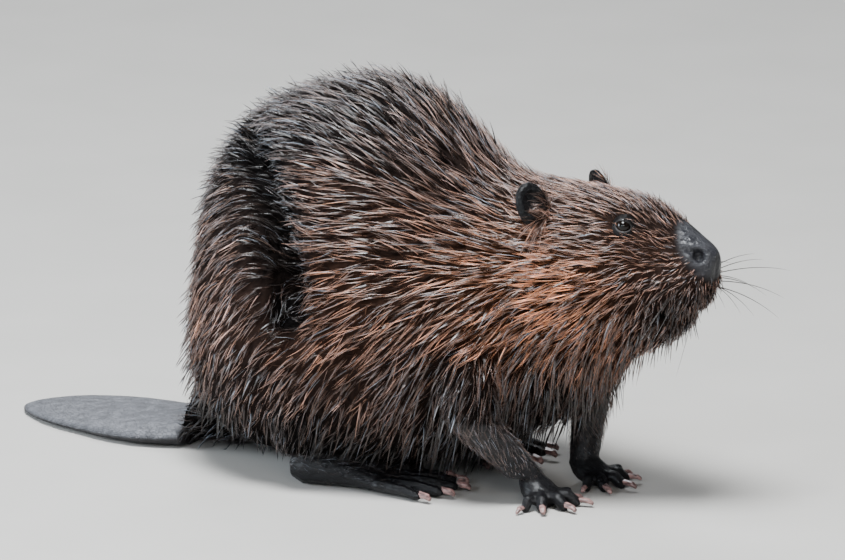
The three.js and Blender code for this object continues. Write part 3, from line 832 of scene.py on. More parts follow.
@dataclass
class Form:
    """How one kind of lock is built. Lengths and stands are shares of the table's own, and the other
    sizes are millimetres."""

    name: str
    layer: int  # 1 underfur, 2 guard hair: the column of NODE_COAT
    strands: int
    width: float  # of each strand at its root
    spread: float  # of the strands' roots round the lock's own
    length: float
    shade: float
    contrast: float  # between strands, as the spread of a lognormal
    wave: float
    scatter: float  # of the locks' directions, in degrees
    rings: tuple = (0.0, 0.33, 0.68)  # along each strand, besides its tip
    gather: float = 0.38  # how late the strands come together
    stand: float = 1.0
    painted_sheen: float = 0.0  # the share of strands painted pale blue-grey: a painted highlight of wet hair that catches the sky
    clumps: float = 0.0  # to the square centimetre, where the locks are CLUMPED long
    pull: float = 0.0  # how far into them

    @property
    def steps(self):
        return np.array([*self.rings, 1.0])

    @property
    def triangles(self):
        """Of each strand."""
        return 2 * STRAND_SIDES * (len(self.rings) - 1) + STRAND_SIDES + 1


UNDER = {"name": "under", "layer": 1, "rings": (0.0, 0.5), "gather": 0.9, "length": 0.50}
UNDER |= {"shade": 0.10, "contrast": 0.40, "scatter": 20, "clumps": 3.0, "pull": 0.4}
UNDERFUR = Form(**UNDER, strands=4, width=0.80, spread=2.0, stand=0.62, wave=0.3)
FACE_UNDERFUR = Form(**UNDER, strands=3, width=0.52, spread=1.0, stand=0.66, wave=0.2)
GUARD_HAIR = Form(
    "guard", 2, strands=3, width=0.38, spread=1.7, length=1.15, shade=1.10, contrast=0.62, wave=0.35,
    scatter=5, painted_sheen=0.075, clumps=1.3, pull=0.93,
)
FACE_HAIR = Form(
    "guard", 2, strands=3, width=0.48, spread=1.1, length=1.12, shade=1.45, contrast=0.55, wave=0.25,
    scatter=6, painted_sheen=0.09, clumps=1.2, pull=0.95,
)
POINTS = Form(
    "points", 2, strands=6, width=0.80, spread=2.2, length=0.76, shade=0.26, contrast=0.60, wave=0.3,
    scatter=9, painted_sheen=0.03, gather=0.34,
)
EAR_HAIR = Form(
    "guard", 2, strands=3, width=0.50, spread=1.0, length=1.0, shade=0.80, contrast=0.60, wave=0.2,
    scatter=10,
)
STANDING = (POINTS, EAR_HAIR)


def spatial_order(points):
    """An order that keeps near places together, so that counting along it spreads evenly."""
    cells = ((points - points.min(0)) / (2.5 * MM)).astype(np.int64)
    code = np.zeros(len(points), np.int64)
    for bit in range(9):
        for axis in range(3):
            code |= ((cells[:, axis] >> bit) & 1) << (3 * bit + axis)
    return np.argsort(code, kind="stable")



# Between which distances the hair sets in.
NOSE_HAIRLINE = (0.92, 1.30)
MOUTH_HAIRLINE = (0.5, 0.9)
EAR_HAIRLINE = (2, 6)
EYE_HAIRLINE = (1.25, 1.45)
WRIST_HAIRLINE = (WRIST, 0.5 * ELBOW)
TOE_HAIRLINE = (0.75, 0.45)  # as shares of the hind foot's length
SOLE_HAIRLINE = (-0.1, 0.5)  # how far up the foot's surface faces
UNDERNEATH = -0.75  # surfaces that face further down than this have a thinner coat
UNDERNEATH_SHARE = 0.55


def instep(points, normals):
    """How well each point of a hind foot bears hair: its top does, back from the toes."""
    low, high = corners("hindfoot_right")
    along = (points[:, 0] - low[0]) / (high[0] - low[0])
    return smoothstep(*TOE_HAIRLINE, along) * smoothstep(*SOLE_HAIRLINE, normals[:, 2])


def eye_distances(points):
    """The distances from each eye's middle, where 1 is the eyeball's surface."""
    return [np.linalg.norm(points - eye, axis=1) / EYE_RADIUS for eye in EYE.values()]


def hair_shares(at, middles):
    """What thins the hair out at each place, as shares from 0 to 1."""
    kinds, normals = kind_at[at], skin_normals[at]
    grown = smoothstep(*WRIST_HAIRLINE, middles[:, 2] / MM)
    return [
        np.where(normals[:, 2] < UNDERNEATH, UNDERNEATH_SHARE, 1.0),
        smoothstep(*NOSE_HAIRLINE, leather_distance(middles)),
        smoothstep(*MOUTH_HAIRLINE, mouth_corner_distance(middles)),
        np.where(kinds == "ear", smoothstep(*EAR_HAIRLINE, ear_front(middles)), 1.0),
        np.where(kinds == "forearm", grown, 1.0),
        np.where(kinds == "hindfoot", instep(middles, normals), 1.0),
        *(smoothstep(*EYE_HAIRLINE, away) for away in eye_distances(middles)),
    ]


def sample_roots(density, kinds, side, rng):
    """Even places on the skin, with their normals and nearest vertices: density(vertices, middles) to
    the square centimetre, over the nodes of some kinds and on one side or both."""
    a, b, c, d = (skin.points[skin.quads[:, i]] for i in range(4))
    middles = (a + c) / 2
    at = skin.quads[:, 0]
    weight = np.linalg.norm(np.cross(c - a, d - b), axis=1) / 2 / SQUARE_CM
    weight *= density(at, middles)
    weight *= np.isin(KINDS, kinds)[owner[at]]
    for share in hair_shares(at, middles):
        weight *= share
    if side:
        weight *= middles[:, 1] * side > 0
    order = spatial_order(middles)
    total = np.cumsum(weight[order])
    count = int(total[-1] * DENSITY)
    places = (np.arange(count) + rng.random(count)) / count * total[-1]
    face = order[np.searchsorted(total, places)]
    u, v = rng.random((2, count, 1))

    def inside(values):
        a, b, c, d = (values[skin.quads[face, i]] for i in range(4))
        return (a * (1 - u) + b * u) * (1 - v) + (d * (1 - u) + c * u) * v

    return inside(skin.points), unit(inside(skin_normals)), skin.quads[face, 0]


def node_density(form):
    of_node = np.array([NODE_COAT[kind][form.layer] for kind in KINDS])
    return lambda at, middles: of_node[owner[at]] / form.strands


POINTS_ALL_OVER = 0.12  # standing points to the square centimetre
POINTS_STANDING = 3.4  # more, for each 1 that the coat stands off above FLAT_STAND
FLAT_STAND = 1.1
POINTS_AT_EDGE = 0.7  # more, along the lower edges


def point_density(at, middles):
    """Standing points grow most where the coat stands off, and along the animal's lower edges."""
    stand = lie_of_coat(middles)[:, STAND]
    edge = smoothstep(0.1, -0.4, skin_normals[at, 2]) * smoothstep(10, 25, middles[:, 2] / MM)
    return POINTS_ALL_OVER + POINTS_STANDING * np.maximum(stand - FLAT_STAND, 0) + POINTS_AT_EDGE * edge


def onto_skin(points):
    found = [skin_tree.find_nearest(point) for point in points.tolist()]
    return np.array([hit[0] for hit in found]), np.array([hit[1] for hit in found])


def smooth_noise(points, scale, seed):
    """A gentle value between about -1 and 1 that wanders over the body."""
    rng = np.random.default_rng(seed)
    total = np.zeros(len(points))
    for _ in range(5):
        way = unit(rng.normal(size=3))
        total += np.sin(points @ way * (2 * math.pi / scale) * rng.uniform(0.7, 1.5) + rng.uniform(0, 6.3))
    return total / 2.6


# The body's long middle line, with how round its two ends are: the skin is unrolled about it.
REAR_END = np.array([-50, 0, 125]) * MM
HEAD_END = np.array([235, 0, 190]) * MM
REAR_ROUND = 100 * MM
HEAD_ROUND = 45 * MM
LIMB_KINDS = ("ear", "forearm", "upper_arm", "shank", "jaw")
BODY_ROWS = 0.78  # the share of the unrolled picture's height that the body takes
LIMB_ROWS = (0.80, 0.18)  # where the limbs' cells start, and their height


def share_of_turn(y, x):
    return np.arctan2(y, x) / (2 * math.pi) + 0.5


def unrolled(points, roots):
    """Where each root lies on the unrolled skin: the body about its middle line, over its two ends, and
    each limb, ear and the jaw about its own upright line in a row of cells above."""
    line = HEAD_END - REAR_END
    length = np.linalg.norm(line)
    line = line / length
    along = (points - REAR_END) @ line
    offset = points - REAR_END - along[:, None] * line
    away = np.maximum(np.linalg.norm(offset, axis=1), 1e-5)
    upward = unit(np.array([0, 0, 1]) - line * line[2])
    angle = share_of_turn(offset @ np.cross(upward, line), offset @ upward)
    rear = REAR_ROUND * np.arctan2(np.minimum(along, 0), away)
    front = HEAD_ROUND * np.arctan2(np.maximum(along - length, 0), away)
    run = rear + np.clip(along, 0, length) + front
    whole = length + (REAR_ROUND + HEAD_ROUND) * math.pi / 2
    uv = np.stack([(run + REAR_ROUND * math.pi / 2) / whole, BODY_ROWS * angle], 1)
    small = [i for i, kind in enumerate(KINDS) if kind in LIMB_KINDS]
    for cell, i in enumerate(small):
        on = owner[roots] == i
        low, high = corners(FLESH[i])
        centre = (low + high) / 2
        around = share_of_turn(points[on, 1] - centre[1], points[on, 0] - centre[0])
        rise = np.clip((points[on, 2] - low[2]) / (high[2] - low[2]), 0, 1)
        column = (cell + 0.05 + 0.9 * around) / len(small)
        uv[on] = np.stack([column, LIMB_ROWS[0] + LIMB_ROWS[1] * rise], 1)
    return uv


# The way hair on the limbs points, down each of them, and how closely it keeps to that.
LIMB_FALL = {"upper_arm": 77.0, "forearm": 133.0, "shank": 77.0, "hindfoot": 200.0}
LIMB_PULL = 0.8
CLUMP_TURN = 7.0  # how far whole clumps stray from the lie of the coat, in degrees
FALL_WAVES = ((8, 0.060, 5), (6, 0.022, 6))  # how the lie wanders: degrees, scale in metres and seed
MUZZLE = (250, 285)  # where the short hair of the muzzle sets in, along the head
MUZZLE_WAVE = (24.0, 0.012, 7)  # how it strays from its lie
BEND = 14.0  # how far a lock's direction turns along it, in degrees
SHORTEST = 5.0  # the least length that clumps are spaced for


def leaning(points, normals, form, kinds, side, rng):
    """For each lock, the way across the skin to the middle of its clump, and the clump's own tint and
    turn."""
    if not form.clumps:
        return np.zeros_like(points), np.zeros((2, len(points)))

    def clump_density(at, middles):
        share = coat_share(middles, kind_at[at])
        length = np.maximum(lie_of_coat(middles)[:, LENGTH] * share, SHORTEST)
        return form.clumps * (CLUMPED / length) ** 2

    centres, _, _ = sample_roots(clump_density, kinds, side, rng)
    tree = KDTree(len(centres))
    for i, centre in enumerate(centres.tolist()):
        tree.insert(centre, i)
    tree.balance()
    nearest = np.array([tree.find(point)[1] for point in points.tolist()])
    return across(centres[nearest] - points, normals), rng.normal(size=(2, len(centres)))[:, nearest]


NOSE_GROWTH = (0.95, 1.45)  # leather distances between which locks grow to their full length
NOSE_LEAST = 0.55  # the share of it that they start from
EYE_GROWTH = (1.2, 2.6)  # and the same round the eyes
EYE_LEAST = 0.45
LENGTHS = (0.70, 1.20)  # of single locks, as shares


def lock_lengths(points, kinds, form, rng):
    """The length of each lock and the rise of its coat over the skin."""
    own = lie_of_coat(points)[:, LENGTH] * coat_share(points, kinds)
    near_nose = smoothstep(*NOSE_GROWTH, leather_distance(points))
    rise = own * DEPTH_SHARE * MM * near_nose
    length = own * MM * (NOSE_LEAST + (1 - NOSE_LEAST) * near_nose) * form.length
    for away in eye_distances(points):
        length = length * (EYE_LEAST + (1 - EYE_LEAST) * smoothstep(*EYE_GROWTH, away))
    ahead = points - [FOLD_WIDTH * MM, 0, 0]
    length = length * (1 - FOLD_CROP * fold_share(ahead, FOLD_REACH))
    return length * rng.uniform(*LENGTHS, len(points)), rise


def lock_fall(points, kinds, form, turn, rng):
    """The fall of each lock: the coat's own, with what wanders over the body and what is untidy."""
    fall = lie_of_coat(points)[:, FALL] + CLUMP_TURN * turn
    for degrees, scale, seed in FALL_WAVES:
        fall = fall + degrees * smooth_noise(points, scale, seed)
    fall = fall + rng.normal(0, form.scatter, len(points))
    degrees, scale, seed = MUZZLE_WAVE
    untidy = smoothstep(*MUZZLE, points[:, 0] / MM) * smooth_noise(points, scale, seed)
    fall = fall + degrees * untidy
    for kind, down in LIMB_FALL.items():
        fall = np.where(kinds == kind, (1 - LIMB_PULL) * fall + LIMB_PULL * down, fall)
    return fall


ROOT_DEPTH = 0.7 * MM
TIP_LIFT = 0.4 * MM  # added to the coat's depth where a lock ends
LIFT_CURVE = 1.7  # how early a lock leaves the skin
STAND_SCATTER = 0.22
LEAST_STAND = 0.35


def lie_along(points, normals, kinds, form, turn, rng):
    """The middle lines of locks that lie on the body: places, ways and ups, each (locks, steps, 3)."""
    fall = lock_fall(points, kinds, form, turn, rng)
    bend = rng.normal(0, BEND, len(points))
    length, rise = lock_lengths(points, kinds, form, rng)
    own = lie_of_coat(points)[:, STAND]
    stand = form.stand * np.clip(rng.normal(own, STAND_SCATTER * own), LEAST_STAND, None)
    centres, ways, ups = [points], [hair_way(points, normals, fall)], [normals]
    here = points
    for previous, t in zip(form.steps, form.steps[1:]):
        here = here + ways[-1] * (length * (t - previous))[:, None]
        here, up = onto_skin(here)
        up = unit(0.5 * up + 0.5 * ups[-1])
        height = (rise + TIP_LIFT) * stand * (1 - (1 - t) ** LIFT_CURVE)
        centres.append(here + up * height[:, None])
        ways.append(hair_way(here, up, fall + bend * t))
        ups.append(up)
    centres[0] = points - normals * ROOT_DEPTH
    return (np.stack(values, 1) for values in (centres, ways, ups))


POINT_LIFT = (18, 60, 58)  # degrees off the skin: where the coat lies flat, for each 1 it stands, at most
HANGING = 0.3  # how much longer the points grow on the animal's lower edges
POINT_DROOP = 0.55  # how far a point hangs there, as a share of its length
POINT_SETTLE = 0.15  # and how far it bends back to the skin elsewhere


def stand_off(points, normals, kinds, form, turn, rng):
    """The middle lines of points that leave the body and droop."""
    way = hair_way(points, normals, lock_fall(points, kinds, form, turn, rng))
    length, rise = lock_lengths(points, kinds, form, rng)
    stand = lie_of_coat(points)[:, STAND]
    flat, more, most = POINT_LIFT
    lift = np.clip(flat + more * (stand - 1), flat, most) * rng.uniform(0.6, 1.3, len(points))
    lift = np.radians(lift)[:, None]
    start = way * np.cos(lift) + normals * np.sin(lift)
    low = smoothstep(0.3, -0.3, normals[:, 2])[:, None]
    length = length * (1 + HANGING * low[:, 0])
    droop = np.array([0, 0, -1.0]) * POINT_DROOP * low - normals * POINT_SETTLE * (1 - low)
    base = points + normals * (0.45 * rise[:, None])
    centres = [base + length[:, None] * (start * t + droop * t**2) for t in form.steps]
    ways = [unit(start + 2 * droop * t) for t in form.steps]
    ups = [unit(across(normals, way)) for way in ways]
    return (np.stack(values, 1) for values in (centres, ways, ups))


def grow_locks(points, normals, roots, form, lean, turn, rng):
    """The middle line of every strand, (locks, strands, rings + tip, 3), and the lock's own frames."""
    grow = stand_off if form in STANDING else lie_along
    centres, ways, ups = grow(points, normals, kind_at[roots], form, turn, rng)
    sides = unit(np.cross(ups, ways))
    steps = form.steps
    centres = centres + lean[:, None] * (form.pull * steps**0.8)[:, None]

    size = (len(points), form.strands)
    spread = form.spread * MM * rng.uniform(0.7, 1.25, (size[0], 1))
    angle = rng.uniform(0, 2 * math.pi, size)
    radius = np.sqrt(rng.random(size)) * spread
    gather = 1 - steps**form.gather * 0.94
    reach = rng.uniform(0.80, 1.06, size)
    phase = rng.uniform(0, 2 * math.pi, (*size, 1))
    wave = form.wave * MM * np.sin(steps * 5.5 + phase) * steps
    loose = rng.normal(0, 0.3 * form.wave * MM, (*size, 1)) * steps
    offset_along = (radius * np.cos(angle))[..., None] * gather
    offset_side = (radius * np.sin(angle))[..., None] * gather + wave
    spine = centres[:, None] + (centres[:, None] - centres[:, None, :1]) * (reach[..., None, None] - 1)
    for way, offset in ((ways, offset_along), (sides, offset_side), (ups, loose)):
        spine = spine + way[:, None] * offset[..., None]
    return spine, sides, ups


def strand_faces(rings):
    """The faces of one strand, whose sides meet at a tip where each has its own point."""
    faces = [(0, 2, 1)]
    for row in range(rings - 1):
        for i in range(STRAND_SIDES):
            a, b = row * STRAND_SIDES + i, row * STRAND_SIDES + (i + 1) % STRAND_SIDES
            faces += [(a, b, b + STRAND_SIDES), (a, b + STRAND_SIDES, a + STRAND_SIDES)]
    tip = rings * STRAND_SIDES
    last = tip - STRAND_SIDES
    faces += [(last + i, last + (i + 1) % STRAND_SIDES, tip + i) for i in range(STRAND_SIDES)]
    return np.array(faces)


def strand_points(spine, sides, ups, form, rng):
    """Vertices, (locks, strands, per strand, 3). Each side has its own point at the tip, so that smooth
    shading keeps to the sides."""
    count, strands = spine.shape[:2]
    rings = len(form.rings)
    taper = (1 - np.array(form.rings)) ** 0.7
    reach = np.linalg.norm(spine[:, :, -1] - spine[:, :, 0], axis=2) / (CLUMPED * MM * form.length)
    thick = rng.uniform(0.7, 1.2, (count, strands, 1))
    width = form.width * MM * np.clip(reach, 0.5, 1.1)[..., None] * thick / 2 * taper
    ring = sides[:, None, :rings, None] * np.cos(TURNS)[:, None]
    ring = ring + ups[:, None, :rings, None] * np.sin(TURNS)[:, None]
    tube = spine[:, :, :rings, None] + ring * width[..., None, None]
    tube = tube.reshape(count, strands, rings * STRAND_SIDES, 3)
    tips = np.repeat(spine[:, :, -1:], STRAND_SIDES, axis=2)
    return np.concatenate([tube, tips], 2)


PAINTED_SHEEN_COLOUR = np.array([0.24, 0.27, 0.32])  # painted highlight: the pale blue-grey of wet strands that catch the sky
ROOT_TO_TIP = ([0, 0.4, 1], [0.35, 1.0, 1.3])  # how a strand's colour rises from root to tip: darker at the root as painted shade deep in the coat


def tinted(colour, clump_tint, form, rng):
    """Each strand's own tint, with a share of strands painted pale blue-grey as a painted highlight of wet
    hair. Strands are darker at the root, as painted shade deep in the coat, and paler towards the tip.
    """
    size = (len(colour), form.strands)
    clump = 0.7 * form.contrast * np.clip(clump_tint, -2, 1.3)
    lock = np.exp(clump + rng.normal(0, 0.4 * form.contrast, size[0]))
    strand = form.shade * lock[:, None] * rng.lognormal(0, form.contrast, size)
    warm = 1 + rng.normal(0, 0.08, (*size, 1)) * np.array([1.0, 0.2, -1.0])
    # painted shade at each strand's root, paling towards its tip
    along = np.repeat(np.interp(form.steps, *ROOT_TO_TIP), STRAND_SIDES)
    tints = colour[:, None] * strand[..., None] * warm
    # painted highlight: some strands take the pale blue-grey of wet hair catching the sky
    painted_strands = rng.random(size) < form.painted_sheen
    tints[painted_strands] = PAINTED_SHEEN_COLOUR * rng.uniform(0.5, 1.2, (painted_strands.sum(), 1))
    return tints[:, :, None] * along[:, None]


BAKE_PATCH = 0.003  # the size of a lock's patch on the unrolled skin


def bake_patches(uv, form):
    """A small patch for each lock at its root's place: strands across it, roots to tips up it."""
    column = (np.arange(form.strands) + 0.5) / form.strands - 0.5
    turn = np.tile(np.array([-0.3, 0, 0.3]) / form.strands, len(form.steps))
    patch = np.empty((form.strands, len(turn), 2))
    patch[..., 0] = column[:, None] + turn
    patch[..., 1] = np.repeat(form.steps, STRAND_SIDES) - 0.5
    inside = BAKE_PATCH + uv * (1 - 2 * BAKE_PATCH)
    return inside[:, None, None] + patch * BAKE_PATCH


def make_piece(label, slot, form, material, locks, lean, clump, rng):
    """One mesh of locks, with its colours, its mask along the strands and its map."""
    points, _, roots = locks
    clump_tint, clump_turn = clump
    spine, sides, ups = grow_locks(*locks, form, lean, clump_turn, rng)
    vertices = strand_points(spine, sides, ups, form, rng)
    vertices[..., 2] = np.maximum(vertices[..., 2], FLOOR_GAP)
    starts = np.arange(len(points) * form.strands) * vertices.shape[2]
    faces = (strand_faces(len(form.rings))[None] + starts[:, None, None]).reshape(-1, 3)
    obj = mesh_object(label, vertices.reshape(-1, 3), faces, material)
    colour = markings(points, kind_at[roots])
    add_colour(obj, tinted(colour, clump_tint, form, rng).reshape(-1, 3))
    add_mask(obj, "along", np.tile(np.repeat(form.steps, STRAND_SIDES), len(starts)))
    uv = bake_patches(unrolled(points, roots), form).reshape(-1, 2)
    layer = obj.data.uv_layers.new(name="OFBake")
    layer.data.foreach_set("uv", uv[faces.ravel()].astype(np.float32).ravel())
    settle(obj, slot)


def make_layer(name, slot, kinds, side, form, material, rng):
    """One form of lock over one region, in as many pieces as it needs."""
    density = point_density if form is POINTS else node_density(form)
    points, normals, roots = sample_roots(density, kinds, side, rng)
    lean, clump = leaning(points, normals, form, kinds, side, rng)
    pieces = math.ceil(len(points) * form.strands * form.triangles / PIECE_TRIANGLES)
    order = np.argsort(points[:, 0], kind="stable")
    for number, part in enumerate(np.array_split(order, pieces), 1):
        label = f"{name}_{form.name}" if pieces == 1 else f"{name}_{form.name}_{number}"
        locks = (points[part], normals[part], roots[part])
        make_piece(label, slot, form, material, locks, lean[part], clump[:, part], rng)


REAR_KINDS = ["thigh", "rump", "tail_root"]
BODY_FORMS = (UNDERFUR, GUARD_HAIR, POINTS)
FINE_FORMS = (FACE_UNDERFUR, FACE_HAIR)
COAT_REGIONS = [
    # name, slot, kinds of node, side, forms
    ("coat_head", "face_coat", ["head", "jaw"], 0, (*FINE_FORMS, POINTS)),
    ("coat_ears", "coat", ["ear"], 0, (EAR_HAIR,)),
    ("coat_neck", "coat", ["neck"], 0, BODY_FORMS),
    ("coat_arms", "coat", ["upper_arm"], 0, BODY_FORMS),
    ("coat_forearms", "coat", ["forearm"], 0, (FACE_HAIR,)),
    ("coat_shanks", "coat", ["shank", "hindfoot"], 0, FINE_FORMS),
    ("coat_trunk_right", "coat", ["trunk"], SIDES["right"], BODY_FORMS),
    ("coat_trunk_left", "coat", ["trunk"], SIDES["left"], BODY_FORMS),
    ("coat_rear_right", "coat", REAR_KINDS, SIDES["right"], BODY_FORMS),
    ("coat_rear_left", "coat", REAR_KINDS, SIDES["left"], BODY_FORMS),
]


def make_coat():
    rng = np.random.default_rng(SEED)
    materials = {1: coat_material("underfur", 0.75, 0.04), 2: coat_material("wet_hair", 0.28, 1.0)}
    for *region, forms in COAT_REGIONS:
        for form in forms:
            make_layer(*region, form, materials[form.layer], rng)


make_coat()

# ---------------- eyes and lids

EYE_RINGS = 28
EYE_TURNS = 48
CORNEA = (0.03, 0.5)  # how far it bulges, as a share of the eye's radius, and its reach in radians
LID_TURNS = 64
# From the lid's edge on the eyeball out to the skin: share of the way, height, and how much painted
# highlight of the wet rim it has.
LID_PROFILE = [
    (0.00, -0.40, 0.0), (0.02, 0.25, 0.3), (0.10, 0.62, 1.0), (0.22, 0.66, 0.9), (0.32, 0.38, 0.1),
    (0.45, 0.10, 0.0), (0.60, 0.35, 0.0), (0.78, 0.45, 0.0), (0.90, 0.20, 0.0), (1.00, -0.80, 0.0),
]
LID_OPENING = (4.9 * MM, 3.8 * MM)  # half the opening, along and up the eye
LID_REACH = 9.5 * MM
LID_CORNER = 0.22  # how far the eye's two corners are drawn out
LID_DARK = np.array([0.003, 0.0025, 0.0025])
# the painted highlight of the wet lid rim
LID_PAINTED_HIGHLIGHT = np.array([0.060, 0.056, 0.055])
LID_CLEARANCE = 1.5 * MM  # the least height of the lid's rim over the eye's middle


def eye_frame(side):
    axis = EYE_AXIS[side]
    along = unit(across(np.array([1.0, 0.0, -0.12]), axis))
    return axis, along, np.cross(axis, along) * (1 if side == "right" else -1)


def ring_faces(rings, count):
    """Quads between rings of points that follow one another."""
    grid = np.arange(rings * count).reshape(rings, count)
    beside = np.roll(grid, -1, axis=1)
    return np.stack([grid[:-1], beside[:-1], beside[1:], grid[1:]], 2).reshape(-1, 4)


def facing_out(faces, side):
    """The eye's frame is mirrored on the right, which turns its faces over."""
    return faces[:, ::-1] if side == "right" else faces


def make_eye(side):
    axis, along, up = eye_frame(side)
    polar = np.linspace(0, math.pi, EYE_RINGS + 1)[:, None, None]
    turn = full_turn(EYE_TURNS)[:, None]
    bulge, reach = CORNEA
    radius = EYE_RADIUS * (1 + bulge * np.exp(-((polar / reach) ** 2)))
    around = np.cos(turn) * along + np.sin(turn) * up
    points = EYE[side] + radius * (np.cos(polar) * axis + np.sin(polar) * around)
    faces = facing_out(ring_faces(EYE_RINGS + 1, EYE_TURNS), side)
    obj = mesh_object(f"eyeball_{side}", points.reshape(-1, 3), faces, eye_material(side))
    settle(obj, "eye", f"eye_{side}")


def lid_ends(side, turn):
    """Where the lid leaves the eyeball and where it meets the skin, at an angle round the eye."""
    axis, along, up = eye_frame(side)
    way = math.cos(turn) * along + math.sin(turn) * up
    corner = 1 + LID_CORNER * abs(math.cos(turn)) ** 6
    opening = math.hypot(LID_OPENING[0] * math.cos(turn), LID_OPENING[1] * math.sin(turn)) * corner
    height = math.sqrt(max(EYE_RADIUS**2 - opening**2, LID_CLEARANCE**2))
    outer = EYE[side] + way * LID_REACH
    hit = skin_tree.ray_cast(Vector(outer + axis * 20 * MM), Vector(-axis))
    return way, EYE[side] + way * opening + axis * height, np.array(hit[0]) if hit[0] else outer


def make_lids(side):
    axis = EYE_AXIS[side]
    points = np.empty((len(LID_PROFILE), LID_TURNS, 3))
    pale = np.empty((len(LID_PROFILE), LID_TURNS))
    for k, turn in enumerate(full_turn(LID_TURNS)):
        way, rim, outer = lid_ends(side, turn)
        for row, (share, height, rim_highlight) in enumerate(LID_PROFILE):
            lift = unit(axis * (1 - 0.4 * share) - way * 0.15)
            points[row, k] = rim * (1 - share) + outer * share + lift * height * MM
            # painted highlight on the wet rim, strongest at the bottom, with painted shade of the upper
            # lid on top
            pale[row, k] = rim_highlight * (0.55 - 0.45 * math.sin(turn))
    faces = facing_out(ring_faces(*pale.shape), side)
    obj = mesh_object(f"eyelids_{side}", points.reshape(-1, 3), faces, lid_material())
    add_colour(obj, blend(LID_DARK[None], LID_PAINTED_HIGHLIGHT, pale.ravel()))
    settle(obj, "skin")


for side in SIDES:
    make_eye(side)
    make_lids(side)

# ---------------- whiskers

WHISKER_STEPS = 9
WHISKER_SIDES = 5
WHISKER_WIDTH = 0.8 * MM
WHISKER_TIP = 0.07  # a whisker's width at its tip, as a share of that
WHISKER_ROWS = 3
WHISKER_COLUMNS = 4
WHISKER_FIRST = (309, 0, 188)
WHISKER_SPACING = 6.5
WHISKER_LENGTHS = (62, 80)


def hair_tubes(paths, width):
    """The points and faces of tapered round hairs along the paths, each (steps, 3)."""
    turns = full_turn(WHISKER_SIDES)
    points, faces = [], []
    for path in paths:
        tangent = unit(np.gradient(path, axis=0))
        side = unit(np.cross(tangent, [0.13, 0.21, 1.0]))
        lift = np.cross(side, tangent)
        taper = (1 - np.linspace(0, 1, len(path))) ** 0.8 * (1 - WHISKER_TIP) + WHISKER_TIP
        faces.append(ring_faces(len(path), WHISKER_SIDES) + len(points))
        for i in range(len(path)):
            ring = np.outer(np.cos(turns), side[i]) + np.outer(np.sin(turns), lift[i])
            points += list(path[i] + ring * width * taper[i] / 2)
    return np.array(points), np.concatenate(faces)


def whisker_path(row, column, sign, rng):
    first = np.array(WHISKER_FIRST) - np.array([column, 0, row]) * WHISKER_SPACING
    place = first * MM
    start = Vector(place + np.array([0, 60 * MM * sign, 0]))
    hit = skin_tree.ray_cast(start, Vector((0, -sign, 0)))
    root = np.array(hit[0]) if hit[0] else place + [0, 20 * MM * sign, 0]
    length = rng.uniform(*WHISKER_LENGTHS) * MM * (1 - 0.10 * column)
    straight = np.array([0.46 - 0.17 * column, 0.90 * sign, 0.06 - 0.24 * row])
    way = unit(straight + rng.normal(0, 0.06, 3))
    t = np.linspace(0, 1, WHISKER_STEPS)[:, None]
    droop = np.array([-0.10, 0.0, -0.20]) * length
    return root - way * MM + way * length * t + droop * t**2


def make_whiskers():
    rng = np.random.default_rng(SEED + 1)
    paths = [
        whisker_path(row, column, sign, rng)
        for sign in SIDES.values()
        for row in range(WHISKER_ROWS)
        for column in range(WHISKER_COLUMNS)
    ]
    dark, pale = (0.006, 0.005, 0.005, 1), (0.030, 0.022, 0.018, 1)
    material = mottled_material("whisker", (60, 2), dark, pale, 0.3)
    settle(mesh_object("whiskers", *hair_tubes(paths, WHISKER_WIDTH), material), "face_coat")


make_whiskers()

# ---------------- claws

CLAW_VOXEL = 0.55 * MM
CLAW_BLUNTED = 0.22  # the share of a claw's length that its rounded end takes off
CLAW_PRESSED = 0.85  # how far that end is pressed back
CLAW_SMOOTHING = 16
CLAW_SWELL = 0.12  # millimetres, which make up for the smoothing


def blunt(horn):
    """Presses the claw's tip back along its own length."""
    offset = horn.points - horn.points.mean(0)
    axis = np.linalg.svd(offset, full_matrices=False)[2][0]
    axis = axis * np.sign(axis[0])
    along = offset @ axis
    limit = along.max() - CLAW_BLUNTED * (along.max() - along.min())
    horn.points = horn.points - np.outer(CLAW_PRESSED * np.maximum(along - limit, 0), axis)


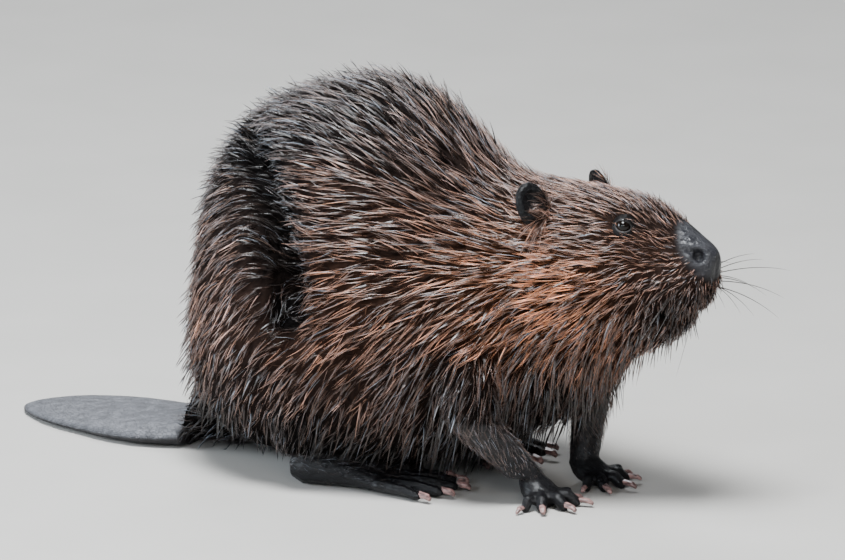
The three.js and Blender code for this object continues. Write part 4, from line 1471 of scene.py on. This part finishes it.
def make_claws():
    material = horn_material()
    for node in CLAWS:
        source = link(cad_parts[node].copy())
        source.data = source.data.copy()
        horn = remeshed(source, CLAW_VOXEL)
        bpy.data.objects.remove(source)
        blunt(horn)
        horn.relax(1.0, CLAW_SMOOTHING)
        horn.points = horn.points + horn.normals() * CLAW_SWELL * MM
        horn.points[:, 2] = np.maximum(horn.points[:, 2], 0)
        obj = mesh_object(node.replace("claw", "horn"), horn.points, horn.quads, material)
        settle(obj, "claw", node)


make_claws()

# ---------------- floor and light

FLOOR_SIZE = 30.0  # metres from its middle to its edge
LIGHT_TARGET = Vector((0, 0, 0.12))
LIGHTS = [
    # name, place, size, power, colour
    ("sky_panel", (0.25, -0.7, 2.4), (1.1, 0.8), 180, (0.93, 0.97, 1.0)),
    ("front_panel", (2.0, -2.4, 1.4), (1.0, 0.8), 32, (1.0, 0.97, 0.93)),
    ("side_panel", (0.3, -2.6, 1.1), (0.7, 0.5), 28, (0.82, 0.91, 1.0)),
    ("rear_panel", (-1.3, 1.8, 2.0), (0.9, 0.7), 40, (0.92, 0.96, 1.0)),
    ("tail_panel", (-2.5, -1.5, 0.8), (1.6, 1.4), 125, (0.80, 0.90, 1.0)),
]
WORLD_COLOUR = (0.78, 0.82, 0.88, 1)
WORLD_STRENGTH = 0.12


def make_floor():
    dark, pale = (0.40, 0.385, 0.36, 1), (0.46, 0.44, 0.415, 1)
    material = mottled_material("floor", (9, 5), dark, pale, 0.85)
    points = FLOOR_SIZE * np.array([[-1, -1, 0], [1, -1, 0], [1, 1, 0], [-1, 1, 0]])
    mesh_object("floor", points, np.array([[0, 1, 2, 3]]), material, smooth=False)


def make_light(name, place, size, power, colour):
    data = bpy.data.lights.new(name, "AREA")
    data.shape = "RECTANGLE"
    data.size, data.size_y = size
    data.energy = power
    data.color = colour
    light = link(bpy.data.objects.new(name, data))
    light.location = place
    light.rotation_euler = (LIGHT_TARGET - light.location).to_track_quat("-Z", "Y").to_euler()


def make_world():
    world = bpy.data.worlds.new("world")
    world.use_nodes = True
    background = world.node_tree.nodes["Background"]
    background.inputs["Color"].default_value = WORLD_COLOUR
    background.inputs["Strength"].default_value = WORLD_STRENGTH
    bpy.context.scene.world = world


make_floor()
for row in LIGHTS:
    make_light(*row)
make_world()
